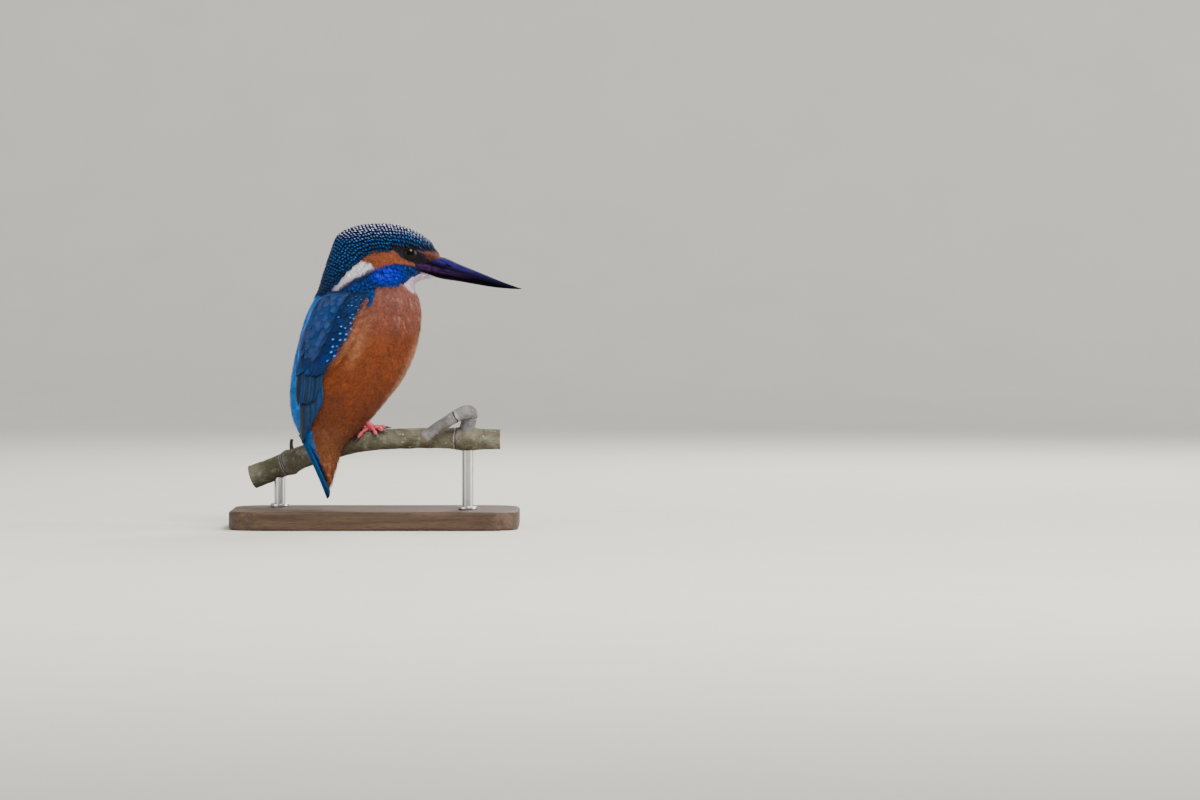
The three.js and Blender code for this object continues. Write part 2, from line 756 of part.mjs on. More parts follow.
function leg(foot) {
  const ball0 = onPerch(perchShareAt(foot.x), foot.side * 0.12, GAP + 1.1);
  const hip = new THREE.Vector3(foot.hip[0], BIRD_Y + foot.hip[1], foot.hip[2]);
  const shank = tube(
    [ball0.clone().add(new THREE.Vector3(0, 0, -0.2)), ball0.clone().lerp(hip, 0.4), hip],
    [TARSUS_RADIUS * 1.15, TARSUS_RADIUS, TARSUS_RADIUS * 1.3],
    9,
  );
  const pad = ball(ball0, 1.75, 10, [1.15, 1.05, 0.85]);
  const whole = union([shank, pad, ...TOES.map((t) => toe(t, foot))]);
  return largest(whole.subtract(branchGrown).subtract(torsoGrown));
}

// ---- Assembly ----
const COLOURS = {
  crown: { color: 0x0d4f7c, roughness: 0.55 },
  breast: { color: 0xa9521e, roughness: 0.85 },
  wing: { color: 0x0a4468, roughness: 0.5 },
  tail: { color: 0x0b3f9c, roughness: 0.5 },
  horn: { color: 0x17131c, roughness: 0.35 },
  eye: { color: 0x0a0706, roughness: 0.05 },
  leg: { color: 0xc2352c, roughness: 0.5 },
  bark: { color: 0x7b7556, roughness: 0.9 },
  stand: { color: 0x2b2019, roughness: 0.45 },
  rod: { color: 0x8f8a80, roughness: 0.3, metalness: 0.9 },
};

const kingfisher = new THREE.Group();
function add(name, solid, look, hand = 1) {
  const mesh = new THREE.Mesh(geometryOf(solid, hand), new THREE.MeshStandardMaterial(COLOURS[look]));
  mesh.name = name;
  kingfisher.add(mesh);
}

const torso = bodyLength(NECK_FOOT, 1, 24).subtract(branchGrown).subtract(tailGrown);
const rightWing = wing();
const bird = [
  ["head", head(), "crown"],
  ["neck", bodyLength(NECK_TOP, NECK_FOOT, 4), "breast"],
  ["torso", largest(torso), "breast"],
  ["wing_right", rightWing, "wing"],
  ["wing_left", rightWing, "wing", -1],
  ["tail", tail(), "tail"],
  ["bill_upper", billUpper(), "horn"],
  ["bill_lower", billHalf(GONYS, false), "horn"],
  ["eye_right", ball(eyeCentre(-1), EYE.radius), "eye"],
  ["eye_left", ball(eyeCentre(1), EYE.radius), "eye"],
  ["leg_right", leg(FEET.right), "leg"],
  ["leg_left", leg(FEET.left), "leg"],
];
bird.forEach((piece) => add(...piece));
add("perch", perch, "bark");
add("stand_base", roundedPlate(), "stand");
ROD_X.forEach((x, i) => add(`stand_rod_${i + 1}`, standRod(x), "rod"));

export default kingfisher;
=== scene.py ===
# %% [markdown]
# # A common kingfisher on a cut branch
# The bird sits upright, looking along +X, and two rods hold its branch over a flat base.
# The solids of the part give every place and size. This lesson dresses them: one skin for head,
# neck and body, then feathers on it in small overlapping rows, then bill, eyes, bark, feet and stand.

import itertools
import math

import bmesh
import bpy
import numpy as np
from mathutils import Matrix, Vector, noise


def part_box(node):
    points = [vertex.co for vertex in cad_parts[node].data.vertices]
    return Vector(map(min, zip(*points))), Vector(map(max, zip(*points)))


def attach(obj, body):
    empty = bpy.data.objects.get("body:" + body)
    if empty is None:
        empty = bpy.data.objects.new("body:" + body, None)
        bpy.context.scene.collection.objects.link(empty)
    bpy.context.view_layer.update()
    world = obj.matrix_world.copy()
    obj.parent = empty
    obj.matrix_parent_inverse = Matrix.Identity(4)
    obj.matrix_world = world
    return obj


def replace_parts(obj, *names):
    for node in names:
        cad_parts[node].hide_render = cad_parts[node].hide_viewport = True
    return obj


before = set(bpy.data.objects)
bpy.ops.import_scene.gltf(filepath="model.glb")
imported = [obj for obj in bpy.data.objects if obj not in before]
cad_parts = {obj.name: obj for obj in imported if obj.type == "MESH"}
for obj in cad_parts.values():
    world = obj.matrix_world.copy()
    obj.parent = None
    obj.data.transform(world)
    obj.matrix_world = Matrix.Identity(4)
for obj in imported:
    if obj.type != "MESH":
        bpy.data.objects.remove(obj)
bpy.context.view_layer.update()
MM = 0.001
BIRD_Y = -4.0  # the bird's plane of symmetry, in millimetres
SIDES = {"right": -1, "left": 1}  # the bird's own right and left, as signs of y
rng = np.random.default_rng(11)
print("solids:", len(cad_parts))

# %% [markdown]
# ## Shader sums written as Python
# A material is a web of nodes, and wiring each one by hand hides the sum that it stands for.
# A small class wraps a socket, so that `1 - mask * 0.5` adds the Math nodes by itself.


# %% A socket that can be added and multiplied
class Link:
    """One value in a material. Sums on a number add Math nodes, sums on a vector Vector Math."""

    def __init__(self, maker, socket):
        self.maker = maker
        self.socket = socket

    def _sum(self, operation, first, second=None):
        pair = [v for v in (first, second) if v is not None]
        vector = any(isinstance(v, Link) and v.socket.type == "VECTOR" for v in pair)
        kind = "ShaderNodeVectorMath" if vector else "ShaderNodeMath"
        values = [(v, v, v) if vector and isinstance(v, (int, float)) else v for v in pair]
        return self.maker.add(kind, {"operation": operation}, dict(enumerate(values)))

    def __add__(self, other):
        return self._sum("ADD", self, other)

    def __sub__(self, other):
        return self._sum("SUBTRACT", self, other)

    def __rsub__(self, other):
        return self._sum("SUBTRACT", other, self)

    def __mul__(self, other):
        return self._sum("MULTIPLY", self, other)

    def __truediv__(self, other):
        return self._sum("DIVIDE", self, other)

    def wave(self):
        """Its sine, for anything that comes in even bands."""
        return self._sum("SINE", self)

    def size(self):
        """Itself without its sign."""
        return self._sum("ABSOLUTE", self)

    def between(self, low, high, to=(0.0, 1.0)):
        """Rises smoothly from to[0] at low to to[1] at high."""
        values = {0: self, 1: low, 2: high, 3: to[0], 4: to[1]}
        return self.maker.add("ShaderNodeMapRange", {"interpolation_type": "SMOOTHSTEP"}, values)


# %% [markdown]
# ## Materials in few words
# Every finish here is the same few steps: noise or lines in millimetres, a blend of colours by
# them, some relief, and one Principled shader at the end. A method for each step keeps a finish
# down to the lines that say how the real surface looks.


# %% A material and its nodes
class Nodes:
    """A new material with an empty tree of nodes."""

    def __init__(self, name):
        self.material = bpy.data.materials.new(name)
        self.material.use_nodes = True
        self.tree = self.material.node_tree
        self.tree.nodes.clear()

    def add(self, kind, settings=None, values=None, out=0):
        """Any node: settings are its own properties, values go to or are wired to its inputs."""
        node = self.tree.nodes.new(kind)
        for key, value in (settings or {}).items():
            setattr(node, key, value)
        for key, value in (values or {}).items():
            if isinstance(value, Link):
                self.tree.links.new(value.socket, node.inputs[key])
            else:
                four = node.inputs[key].type == "RGBA" and len(value) == 3
                node.inputs[key].default_value = (*value, 1.0) if four else value
        return Link(self, node.outputs[out]) if len(node.outputs) else node

    def surface(self, **values):
        """Ends the material with a Principled shader. Underscores in a name stand for spaces."""
        named = {key.replace("_", " "): value for key, value in values.items()}
        shader = self.add("ShaderNodeBsdfPrincipled", None, named)
        self.add("ShaderNodeOutputMaterial", None, {"Surface": shader})
        return self.material


# %% The steps of a finish
class Finish(Nodes):
    """A material under construction. Each step adds a node and returns its output."""

    def blend(self, share, first, second, kind="MIX"):
        """A colour between two others. 6 and 7 are the colour sockets of a Mix node."""
        settings = {"data_type": "RGBA", "blend_type": kind}
        return self.add("ShaderNodeMix", settings, {0: share, 6: first, 7: second}, out=2)

    def ramp(self, share, stops):
        """A colour read from a row of stops, each a place and a colour."""
        colour = self.add("ShaderNodeValToRGB", None, {0: share})
        elements = colour.socket.node.color_ramp.elements
        while len(elements) < len(stops):
            elements.new(0.5)
        for element, (place, shade) in zip(elements, stops):
            element.position = place
            element.color = (*shade, 1.0)
        return colour

    def tinted(self, colour, light):
        """A colour made lighter or darker by a number."""
        return self.blend(1.0, colour, light, "MULTIPLY")

    def attribute(self, name, out="Fac"):
        """What each point of the mesh carries under a name."""
        return self.add("ShaderNodeAttribute", {"attribute_name": name}, out=out)

    def parts(self, vector):
        """The three numbers of a vector."""
        first = self.add("ShaderNodeSeparateXYZ", None, {0: vector})
        return [first] + [Link(self, first.socket.node.outputs[i]) for i in (1, 2)]

    def scaled(self, vector, factors):
        """A vector with each of its numbers multiplied, to stretch a pattern."""
        return self.add("ShaderNodeVectorMath", {"operation": "MULTIPLY"}, {0: vector, 1: factors})

    def place(self, stretch=(1.0, 1.0, 1.0)):
        """Object coordinates, in millimetres, stretched."""
        at = self.add("ShaderNodeTexCoord", out="Object")
        return self.scaled(at, tuple(factor / MM for factor in stretch))

    def cloud(self, at, scale, detail=3.0, roughness=0.55, distortion=0.0):
        """Soft noise from 0 to 1. A scale of 1 has patches of about a millimetre."""
        values = {"Vector": at, "Scale": scale, "Detail": detail, "Roughness": roughness}
        return self.add("ShaderNodeTexNoise", None, {**values, "Distortion": distortion})

    def bump(self, height, distance, strength=1.0):
        """Relief: what a height of 1 stands out, in millimetres, and how much of it shows."""
        values = {"Height": height, "Distance": distance * MM, "Strength": strength}
        return self.add("ShaderNodeBump", None, values)

# %% [markdown]
# ## The shape that the feathers lie on
# Feathers have to follow the body closely, so the body is kept as a formula as well as a solid.
# It is a row of rings from the face, over the crown, down to the vent: each ring has a back point,
# a front point and a half width. Any point of the plumage is then a pair of numbers, how far down
# the bird (0 to 1) and how far round (0 along the back, pi along the breast), plus a height.
# Rays shot at the solid would find it too, but a formula is exact, quick and smooth between rings.


# %% A smooth table
def smooth(rows):
    """A curve through rows of numbers, read at any share of its length, for many shares at once."""
    rows = np.array(rows, float)
    last = len(rows) - 1

    def at(share):
        u = np.clip(np.asarray(share, float), 0, 1) * last
        i = np.minimum(u.astype(int), last - 1)
        t = (u - i)[..., None]
        a, b, d, e = (rows[np.clip(i + k, 0, last)] for k in (-1, 0, 1, 2))
        rise, fall = (d - a) / 2, (e - b) / 2
        return (
            (2 * t**3 - 3 * t**2 + 1) * b
            + (t**3 - 2 * t**2 + t) * rise
            + (3 * t**2 - 2 * t**3) * d
            + (t**3 - t**2) * fall
        )

    return at


# %% The body's rings
BODY = smooth(
    [  # back x, z, front x, z, half width, how far the widest part drops
        [28.6, 116.6, 26.2, 107.2, 4.3, 0.0],
        [26.2, 120.0, 23.2, 107.0, 5.9, 0.05],
        [22.8, 123.9, 20.6, 106.5, 7.4, 0.1],
        [17.6, 127.3, 18.7, 105.8, 8.9, 0.12],
        [10.8, 129.8, 17.4, 104.7, 10.3, 0.13],
        [3.9, 130.6, 17.1, 103.7, 11.3, 0.13],
        [-3.9, 130.3, 17.2, 102.6, 12.0, 0.12],
        [-11.6, 128.4, 17.7, 101.3, 12.4, 0.1],
        [-16.3, 125.0, 18.4, 100.0, 12.6, 0.09],
        [-18.7, 119.4, 19.0, 98.5, 12.9, 0.08],
        [-20.9, 113.1, 19.6, 96.6, 13.5, 0.06],
        [-22.6, 107.7, 19.9, 94.4, 14.4, 0.05],
        [-24.1, 102.6, 20.0, 91.8, 15.4, 0.05],
        [-26.9, 97.2, 19.9, 88.4, 16.4, 0.05],
        [-29.7, 91.4, 19.5, 84.5, 17.2, 0.06],
        [-31.8, 85.0, 18.6, 79.8, 17.8, 0.07],
        [-33.5, 78.1, 17.0, 74.2, 17.9, 0.08],
        [-35.1, 71.2, 14.4, 68.2, 17.6, 0.09],
        [-36.3, 64.3, 11.0, 62.2, 16.8, 0.1],
        [-36.8, 57.4, 6.2, 56.1, 15.5, 0.1],
        [-36.4, 50.6, 1.3, 50.1, 13.8, 0.09],
        [-34.6, 44.1, -3.9, 44.3, 11.5, 0.08],
        [-32.0, 38.9, -9.9, 38.3, 9.2, 0.06],
        [-29.4, 34.6, -13.7, 33.4, 7.5, 0.04],
        [-26.8, 30.4, -15.6, 28.6, 6.2, 0.02],
        [-24.4, 26.0, -16.9, 24.2, 5.0, 0.0],
        [-22.5, 21.4, -18.1, 19.9, 3.7, 0.0],
        [-21.4, 17.0, -19.6, 16.2, 2.0, 0.0],
    ]
)
HEAD_END = 9 / 27  # the share of the body's length at which head and neck end


# %% Places on the body
def body_point(s, angle, out=0.0):
    """Places on the body, in millimetres. A positive angle is on the bird's right side."""
    s, angle, out = np.broadcast_arrays(s, angle, out)
    bx, bz, fx, fz, width, drop = np.moveaxis(BODY(s), -1, 0)
    length = np.hypot(bx - fx, bz - fz)
    ux, uz = (bx - fx) / length, (bz - fz) / length
    up = (length / 2 + out) * np.cos(angle)
    side = (width + out) * np.sin(angle) * (1 - drop * np.cos(angle))
    return np.stack([(bx + fx) / 2 + ux * up, BIRD_Y - side, (bz + fz) / 2 + uz * up], -1)


def body_speeds(s, angle):
    """How many millimetres go to 1 of s and to 1 of angle, at places on the body."""
    ds, turn = 0.002, 0.02  # a small step each way
    down = body_point(s + ds, angle) - body_point(s - ds, angle)
    round_ = body_point(s, angle + turn) - body_point(s, angle - turn)
    span = np.where((s < ds) | (s > 1 - ds), ds, 2 * ds)
    return np.linalg.norm(down, axis=-1) / span, np.linalg.norm(round_, axis=-1) / (2 * turn)


def find_on_body(x, z, low=0.02, high=1.0):
    """(s, angle) of the right side for places in the side view, by halving the range."""
    x, z = np.broadcast_arrays(np.asarray(x, float), z)

    def past(s):
        bx, bz, fx, fz, _, _ = np.moveaxis(BODY(s), -1, 0)
        return -(x - (bx + fx) / 2) * (bz - fz) + (z - (bz + fz) / 2) * (bx - fx)

    a, b = np.full(x.shape, float(low)), np.full(x.shape, float(high))
    start = np.sign(past(a))
    for _ in range(32):
        m = (a + b) / 2
        same = np.sign(past(m)) == start
        a, b = np.where(same, m, a), np.where(same, b, m)
    bx, bz, fx, fz, _, _ = np.moveaxis(BODY(a), -1, 0)
    ux, uz = bx - fx, bz - fz
    along = ((x - (bx + fx) / 2) * ux + (z - (bz + fz) / 2) * uz) * 2 / (ux**2 + uz**2)
    return a, np.arccos(np.clip(along, -0.999, 0.999))


print("crown", body_point(5 / 27, 0.0), "breast", body_point(14 / 27, math.pi))

# %% [markdown]
# ## Where each colour is
# A kingfisher's markings are clear fields with slightly ragged edges. They could be painted on an
# unwrap by hand, but an outline in a table stays sharp at any size and is easy to move. Each field
# is an outline in the side view, in millimetres, and a place's share in it falls smoothly over the
# outline's edge. Skin and feathers ask the same function for their colour, so they always agree.


# %% Fields of colour
FIELDS = {
    # the rufous patch over the ear and the white one on the side of the neck behind it
    "ear": [(-4.7, 114.3), (-4.1, 116.5), (-1.9, 118.3), (1.3, 119.2), (4.6, 119.4), (8.3, 118.3),
        (10.4, 116.6), (12.5, 114.9), (14.8, 114.1), (18.3, 112.2), (14.4, 113.0), (9.9, 113.5),
        (7.4, 113.2), (4.6, 112.4), (2.2, 111.7), (-0.1, 111.4), (-1.2, 113.0), (-3.8, 113.9)],
    "neck": [(-6.1, 114.9), (-8.9, 113.3), (-12.2, 110.6), (-15.5, 107.5), (-19.4, 103.2),
        (-16.4, 101.5), (-13.6, 104.3), (-10.3, 106.5), (-6.1, 108.5), (-3.1, 109.9), (-0.1, 111.4),
        (-1.2, 113.0), (-3.8, 113.9)],
    # the blue stripe under the ear, from the bill to the shoulder, and the shoulder itself
    "stripe": [(21.4, 110.1), (17.2, 112.2), (13.4, 113.1), (10.2, 113.5), (7.4, 113.2), (4.6, 112.4),
        (2.2, 111.7), (-0.1, 111.3), (-3.1, 109.9), (-6.1, 108.4), (-10.3, 106.4), (-12.4, 104.7),
        (-9.9, 105.4), (-6.1, 105.6), (-2.4, 105.9), (3.2, 106.3), (7.8, 106.5), (12.5, 107.5),
        (16.7, 108.4), (20.0, 109.1)],
    "shoulder": [(-18.3, 101.0), (-14.5, 103.7), (-9.9, 105.5), (-2.4, 105.9), (0.6, 105.5),
        (1.0, 102.4), (0.2, 99.5), (-2.4, 99.1), (-3.8, 96.8), (-6.1, 93.6), (-13.6, 92.2),
        (-23.9, 92.2)],
    # the white throat, and the dark band from the bill through the eye
    "throat": [(7.4, 106.3), (12.5, 107.5), (16.7, 108.4), (20.2, 109.2), (21.8, 109.9),
        (25.6, 109.0), (33.0, 107.2), (33.0, 104.3), (19.0, 102.4), (17.9, 100.1), (16.2, 101.0),
        (14.4, 102.6), (12.5, 104.5), (10.2, 105.8)],
    "mask": [(8.1, 120.6), (11.1, 120.8), (14.8, 120.0), (17.2, 119.4), (21.4, 118.3), (27.0, 116.9),
        (33.0, 116.2), (33.0, 114.0), (22.8, 113.7), (18.3, 113.3), (14.8, 114.2), (12.5, 115.0),
        (10.4, 116.9), (8.8, 118.7)],
    # the rufous spot between eye and bill, and the bare corner of the mouth
    "lore": [(21.4, 118.2), (24.2, 118.7), (27.9, 118.5), (29.8, 116.4), (28.8, 115.2), (25.1, 115.0),
        (22.1, 115.9)],
    "gape": [(33.0, 115.9), (28.4, 115.8), (28.3, 114.2), (22.8, 113.8), (18.2, 113.2), (17.9, 112.4),
        (19.6, 110.4), (21.8, 109.1), (25.6, 108.1), (33.0, 106.3)],
    # the crown with the nape, and what the folded wing hides
    "crown": [(30.0, 116.6), (27.0, 118.6), (21.4, 118.9), (16.0, 120.2), (10.0, 120.8), (7.6, 119.0),
        (2.1, 119.7), (-2.0, 118.3), (-4.4, 116.2), (-6.2, 114.9), (-9.0, 113.3), (-12.2, 110.6),
        (-15.5, 107.5), (-19.5, 103.2), (-21.5, 101.8), (-40.0, 101.2), (-40.0, 140.0), (40.0, 140.0)],
    "under_wing": [(-8.5, 97), (-20, 103), (-27.5, 96), (-33, 80), (-35, 60), (-31.5, 42),
        (-26.5, 48), (-24, 62), (-18, 74), (-13, 86)],
}
FIELDS = {name: np.array(points) for name, points in FIELDS.items()}
print("fields of colour:", ", ".join(FIELDS))


# %% A place's share in a field
def inside(name, place, soft=0.35):
    """How far places are inside a field: 1 well inside, 0 well outside, 0.5 on its outline."""
    outline = FIELDS[name]
    p = place[:, None, (0, 2)]
    a, b = outline[None], np.roll(outline, -1, 0)[None]
    side = b - a
    t = np.clip(((p - a) * side).sum(-1) / (side**2).sum(-1), 0, 1)
    gap = np.linalg.norm(p - a - t[..., None] * side, axis=-1).min(1)
    rising = (a[..., 1] > p[..., 1]) != (b[..., 1] > p[..., 1])
    climb = np.where(side[..., 1] == 0, 1e-9, side[..., 1])
    cut = a[..., 0] + (p[..., 1] - a[..., 1]) * side[..., 0] / climb
    odd = (rising & (p[..., 0] < cut)).sum(1) % 2 == 1
    share = np.clip(0.5 + np.where(odd, gap, -gap) / (2 * soft), 0, 1)
    return share * share * (3 - 2 * share)


def wave(place, size, seed=0.0):
    """Smooth noise between -1 and 1 at places in millimetres."""
    return np.array([noise.noise(Vector(p / size + seed)) for p in place])


def ramp(value, low, high):
    """How far values have come from low to high, from 0 to 1."""
    return np.clip((value - low) / (high - low), 0, 1)


def patch(across, along):
    """A round patch: 1 in its middle, falling to 0 where the distance from it reaches 1."""
    return np.clip(1 - np.hypot(across, along), 0, 1)


# %% [markdown]
# ## The bird's colours
# The blue of a kingfisher is no pigment: fine structure in the barbs scatters it, so it is far
# purer than a paint, while the rufous is an ordinary brown dye. Both get plain colours here,
# because the blue hardly changes in soft light. The camera's tone curve lifts and greys dark
# colours, so the blues are written much darker and purer than they look.

# %% Named colours and how they are laid over each other
COLOURS = {
    "breast": (0.29, 0.058, 0.005),
    "upper breast": (0.34, 0.115, 0.085),
    "belly": (0.205, 0.045, 0.006),
    # painted rim light: a paler band down the belly's front
    "painted rim light": (0.85, 0.45, 0.28),
    # painted highlight on the flank beside the wing
    "flank": (0.60, 0.24, 0.11),
    "strands": (0.78, 0.44, 0.38),
    "vent": (0.60, 0.21, 0.075),
    "back": (0.001, 0.26, 0.85),
    "deep back": (0.001, 0.10, 0.50),
    "shoulder": (0.0003, 0.026, 0.130),
    "crown": (0.0004, 0.006, 0.026),
    "stripe": (0.0004, 0.016, 0.11),
    "bright stripe": (0.0004, 0.007, 0.44),
    "throat": (1.0, 0.79, 1.0),
    "neck": (0.97, 0.90, 1.0),
    "grey neck": (0.50, 0.36, 0.52),
    "ear": (0.37, 0.092, 0.028),
    "dark ear": (0.24, 0.075, 0.05),
    "mask": (0.003, 0.003, 0.007),
    "lore": (0.18, 0.048, 0.014),
    "gape": (0.006, 0.003, 0.010),
}


def blend(base, colour, share):
    """Colours mixed: the base where the share is 0, the other colour where it is 1."""
    return base + (np.asarray(colour) - base) * np.asarray(share)[..., None]


def laid(base, name, share):
    """Colours with one of the bird's own laid over them."""
    return blend(base, COLOURS[name], share)


def firm_colour(place, colour):
    """The blue fields over a colour: shoulder, crown and the stripe under the ear."""
    stripe = inside("stripe", place, 0.4)
    bright = patch((place[:, 0] - 7.0) / 9.5, (place[:, 2] - 110.3) / 3.3)
    colour = laid(colour, "shoulder", inside("shoulder", place, 0.7))
    colour = laid(colour, "crown", inside("crown", place, 0.4))
    colour = laid(colour, "stripe", stripe)
    return laid(colour, "bright stripe", stripe * np.clip(bright * 2.2, 0, 1))


# %% Breast, back and head
def rufous_colour(place):
    """The rufous of breast and belly with fine streaks, a painted rim light down the belly's front
    and a painted highlight on the flank.
    """
    x, y, z = place.T
    colour = np.tile(COLOURS["breast"], (len(place), 1))
    colour = laid(colour, "upper breast", ramp(z, 78, 100))
    colour = laid(colour, "belly", ramp(z, 62, 37))
    # painted rim light, paler down the front middle of the belly
    middle = patch((x - 10 - (z - 60) * 0.42) / 7, (y - BIRD_Y) / 9)
    colour = laid(colour, "painted rim light", 0.8 * middle * ramp(z, 86, 72))
    # painted highlight on the flank, next to the wing's front edge
    colour = laid(colour, "flank", 0.8 * patch((x + 7.5 - (z - 78) * 0.35) / 5, (z - 80) / 14))
    upper = ramp(x, 5, 10) * ramp(z, 82, 88) * ramp(z, 104, 99)
    strands = np.clip(1 - np.abs(wave(place * [1, 1, 0.45], 2.6, 9.0)) / 0.07, 0, 1)
    colour = laid(colour, "strands", 0.55 * upper * strands)
    streaks = 0.13 * wave(place * [1, 1, 0.3], 1.7, 5.0) + 0.19 * wave(place * [1, 1, 0.6], 6.0, 1.0)
    return laid(colour * (1 + streaks)[:, None], "vent", 0.6 * ramp(z, 46, 32))


def plumage_colour(place):
    """The colour of the plumage at places on head and body, as rows of red, green and blue."""
    x, _, z = place.T
    angle = find_on_body(x, z)[1]
    edge = 1.0 + 0.2 * ramp(z, 70, 80) + 0.05 * wave(place, 1.6, 6.0)
    back = np.clip((edge - angle) / 0.03, 0, 1) * ramp(z, 102.6, 101.6)
    colour = laid(rufous_colour(place), "back", back)
    colour = laid(colour, "deep back", 0.4 * back * np.clip(0.5 + wave(place, 3.0, 4.0), 0, 1))
    colour = firm_colour(place, colour)
    neck, ear = inside("neck", place, 0.45), inside("ear", place)
    colour = laid(colour, "throat", inside("throat", place, 0.7))
    colour = laid(colour, "neck", neck)
    colour = laid(colour, "grey neck", 0.75 * neck * ramp(x, -11, -18))
    colour = laid(colour, "ear", ear)
    colour = laid(colour, "dark ear", 0.7 * ear * ramp(x, 1, -5))
    colour = laid(colour, "mask", inside("mask", place, 0.4) * (angle > 0.7))
    grain = 0.55 + 0.45 * wave(place, 0.9, 2.0)
    colour = laid(colour, "lore", inside("lore", place, 0.7) * grain)
    colour = laid(colour, "gape", inside("gape", place, 0.3))
    return np.clip(colour, 0, 1)


SAMPLE = {"breast": (16.0, -4.0, 82.0), "crown": (4.0, -4.0, 130.0), "throat": (18.0, -9.0, 104.0)}
for name, place in SAMPLE.items():
    print(name, plumage_colour(np.array([place]))[0].round(3))

# %% [markdown]
# ## Finishes of the plumage
# Plumage has no gloss of its own but a soft sheen, and its colour breaks up into fine streaks
# where the barbs catch the light. Flight feathers are tighter and glossier. The colour itself
# comes with each feather as an attribute, so these materials only add what a surface does to it.


# %% Loose plumage and flight feathers
def plumage_finish():
    """Mottled and finely streaked down the bird, darker towards each feather's root."""
    made = Finish("soft_plumage")
    at = made.place()
    mottle = made.cloud(at, 0.9, 2.0).between(0.3, 0.7, (0.78, 1.2))
    fine = made.cloud(made.place((4.0, 4.0, 1.0)), 1.6, 3.0).between(0.3, 0.7, (0.78, 1.22))
    depth = made.attribute("along").between(0.0, 0.55, (0.66, 1.05))
    return made.surface(
        Base_Color=made.tinted(made.attribute("tone", "Color"), mottle * fine * depth),
        Roughness=made.cloud(at, 0.5).between(0.2, 0.8, (0.62, 0.8)),
        Specular_IOR_Level=0.18,
        Sheen_Weight=0.08,
        Sheen_Roughness=0.5,
        Normal=made.bump(fine, 0.12, 0.5),
    )


def vane_finish():
    """Barbs run out from the shaft at a slant, and the shaft itself is a fine dark line."""
    made = Finish("flight_feather")
    across, along, chance = made.parts(made.attribute("barb", "Vector"))
    slant = along + across.size() * 1.1
    lines = (slant * 11.0 + chance * 6.0).wave()
    shaft = across.size().between(0.05, 0.2, (0.45, 1.0))
    cloudy = made.cloud(made.place(), 0.7, 2.0).between(0.3, 0.7, (0.8, 1.2))
    return made.surface(
        Base_Color=made.tinted(made.attribute("tone", "Color"), (lines * 0.1 + 1.0) * shaft * cloudy),
        Roughness=made.cloud(made.place(), 0.8).between(0.2, 0.8, (0.38, 0.6)),
        Specular_IOR_Level=0.3,
        Specular_Tint=(0.35, 0.6, 1.0, 1.0),
        Normal=made.bump(lines * 0.5 + shaft, 0.05, 0.6),
    )


# %% Spotted feathers
def spangle_finish(name, shades, sky_highlight_slopes, spot):
    """Small firm feathers with one pale spot near the tip, painted paler where it faces the sky.

    shades are the spot's colours below and on top, the second a painted highlight from the sky, facing
    the slopes between which the painted highlight comes in, and spot its half width, its half length
    and its place along the feather.
    """
    made = Finish(name)
    across, along, share = made.parts(made.attribute("barb", "Vector"))
    aside, ahead = across / spot[0], (along - spot[2]) / spot[1]
    shown = (1 - (aside * aside + ahead * ahead).between(0.5, 1.3)) * share
    # painted highlight: the spot turns paler as the surface faces up, as if lit by the sky
    upward = made.parts(made.add("ShaderNodeNewGeometry", out=1))[2]
    pale = made.blend(upward.between(*sky_highlight_slopes), *shades)
    lines = (along * 30.0 - across.size() * 22.0).wave()
    light = (lines * 0.2 + 1.0) * along.between(0.3, 0.75, (0.35, 1.0))
    light = light * across.size().between(0.5, 1.0, (1.0, 0.5))
    return made.surface(
        Base_Color=made.blend(shown, made.tinted(made.attribute("tone", "Color"), light), pale),
        Roughness=made.cloud(made.place(), 0.8).between(0.2, 0.8, (0.42, 0.62)),
        Specular_IOR_Level=0.25,
        Specular_Tint=(0.4, 0.6, 1.0, 1.0),
        Normal=made.bump(lines, 0.05, 0.7),
    )


PLUMAGE = plumage_finish()
# the second colour of each pair is a painted highlight, for spots that face up
CROWN = spangle_finish(
    "crown_plumage", ((0.003, 0.09, 0.33), (0.74, 0.73, 1.0)), (0.58, 0.94), (0.41, 0.108, 0.79)
)
COVERTS = spangle_finish(
    "covert_plumage", ((0.03, 0.34, 0.80), (0.06, 0.40, 0.90)), (0.2, 0.9), (0.26, 0.062, 0.86)
)
VANES = vane_finish()
print("plumage finishes:", PLUMAGE.name, CROWN.name, COVERTS.name, VANES.name)

# %% [markdown]
# ## Pieces
# Every piece is worked in millimetres, like the tables, and turned to metres once, at the end.
# Its place stays in its mesh and the object stands at the origin, so that patterns on Object
# coordinates run on from piece to piece and nothing slides when the model is exported.


# %% From a bmesh or from arrays to a finished piece
def mesh_of(name, bm):
    """A mesh in metres from a bmesh in millimetres, with its faces pointing outwards."""
    bmesh.ops.recalc_face_normals(bm, faces=bm.faces)
    bmesh.ops.scale(bm, vec=(MM, MM, MM), verts=bm.verts)
    mesh = bpy.data.meshes.new(name)
    bm.to_mesh(mesh)
    bm.free()
    return mesh


def placed(name, mesh, material):
    """A smooth-shaded object in the scene."""
    thing = bpy.data.objects.new(name, mesh)
    bpy.context.scene.collection.objects.link(thing)
    mesh.materials.append(material)
    mesh.polygons.foreach_set("use_smooth", np.ones(len(mesh.polygons), bool))
    return thing


def own(name, mesh, material, replaces=()):
    """A piece of the model, which rides on its one body and takes the place of its solids."""
    piece = placed(name, mesh, material)
    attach(piece, "root")
    for node in replaces:
        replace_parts(piece, node)
    print(f"{name}: {len(mesh.polygons)} faces")
    return piece


def finish_piece(name, bm, material, replaces=(), sharp=None):
    """A piece from a bmesh. Edges bent by more than sharp degrees stay crisp."""
    mesh = mesh_of(name, bm)
    made = own(name, mesh, material, replaces)
    if sharp:
        mesh.set_sharp_from_angle(angle=math.radians(sharp))
    return made


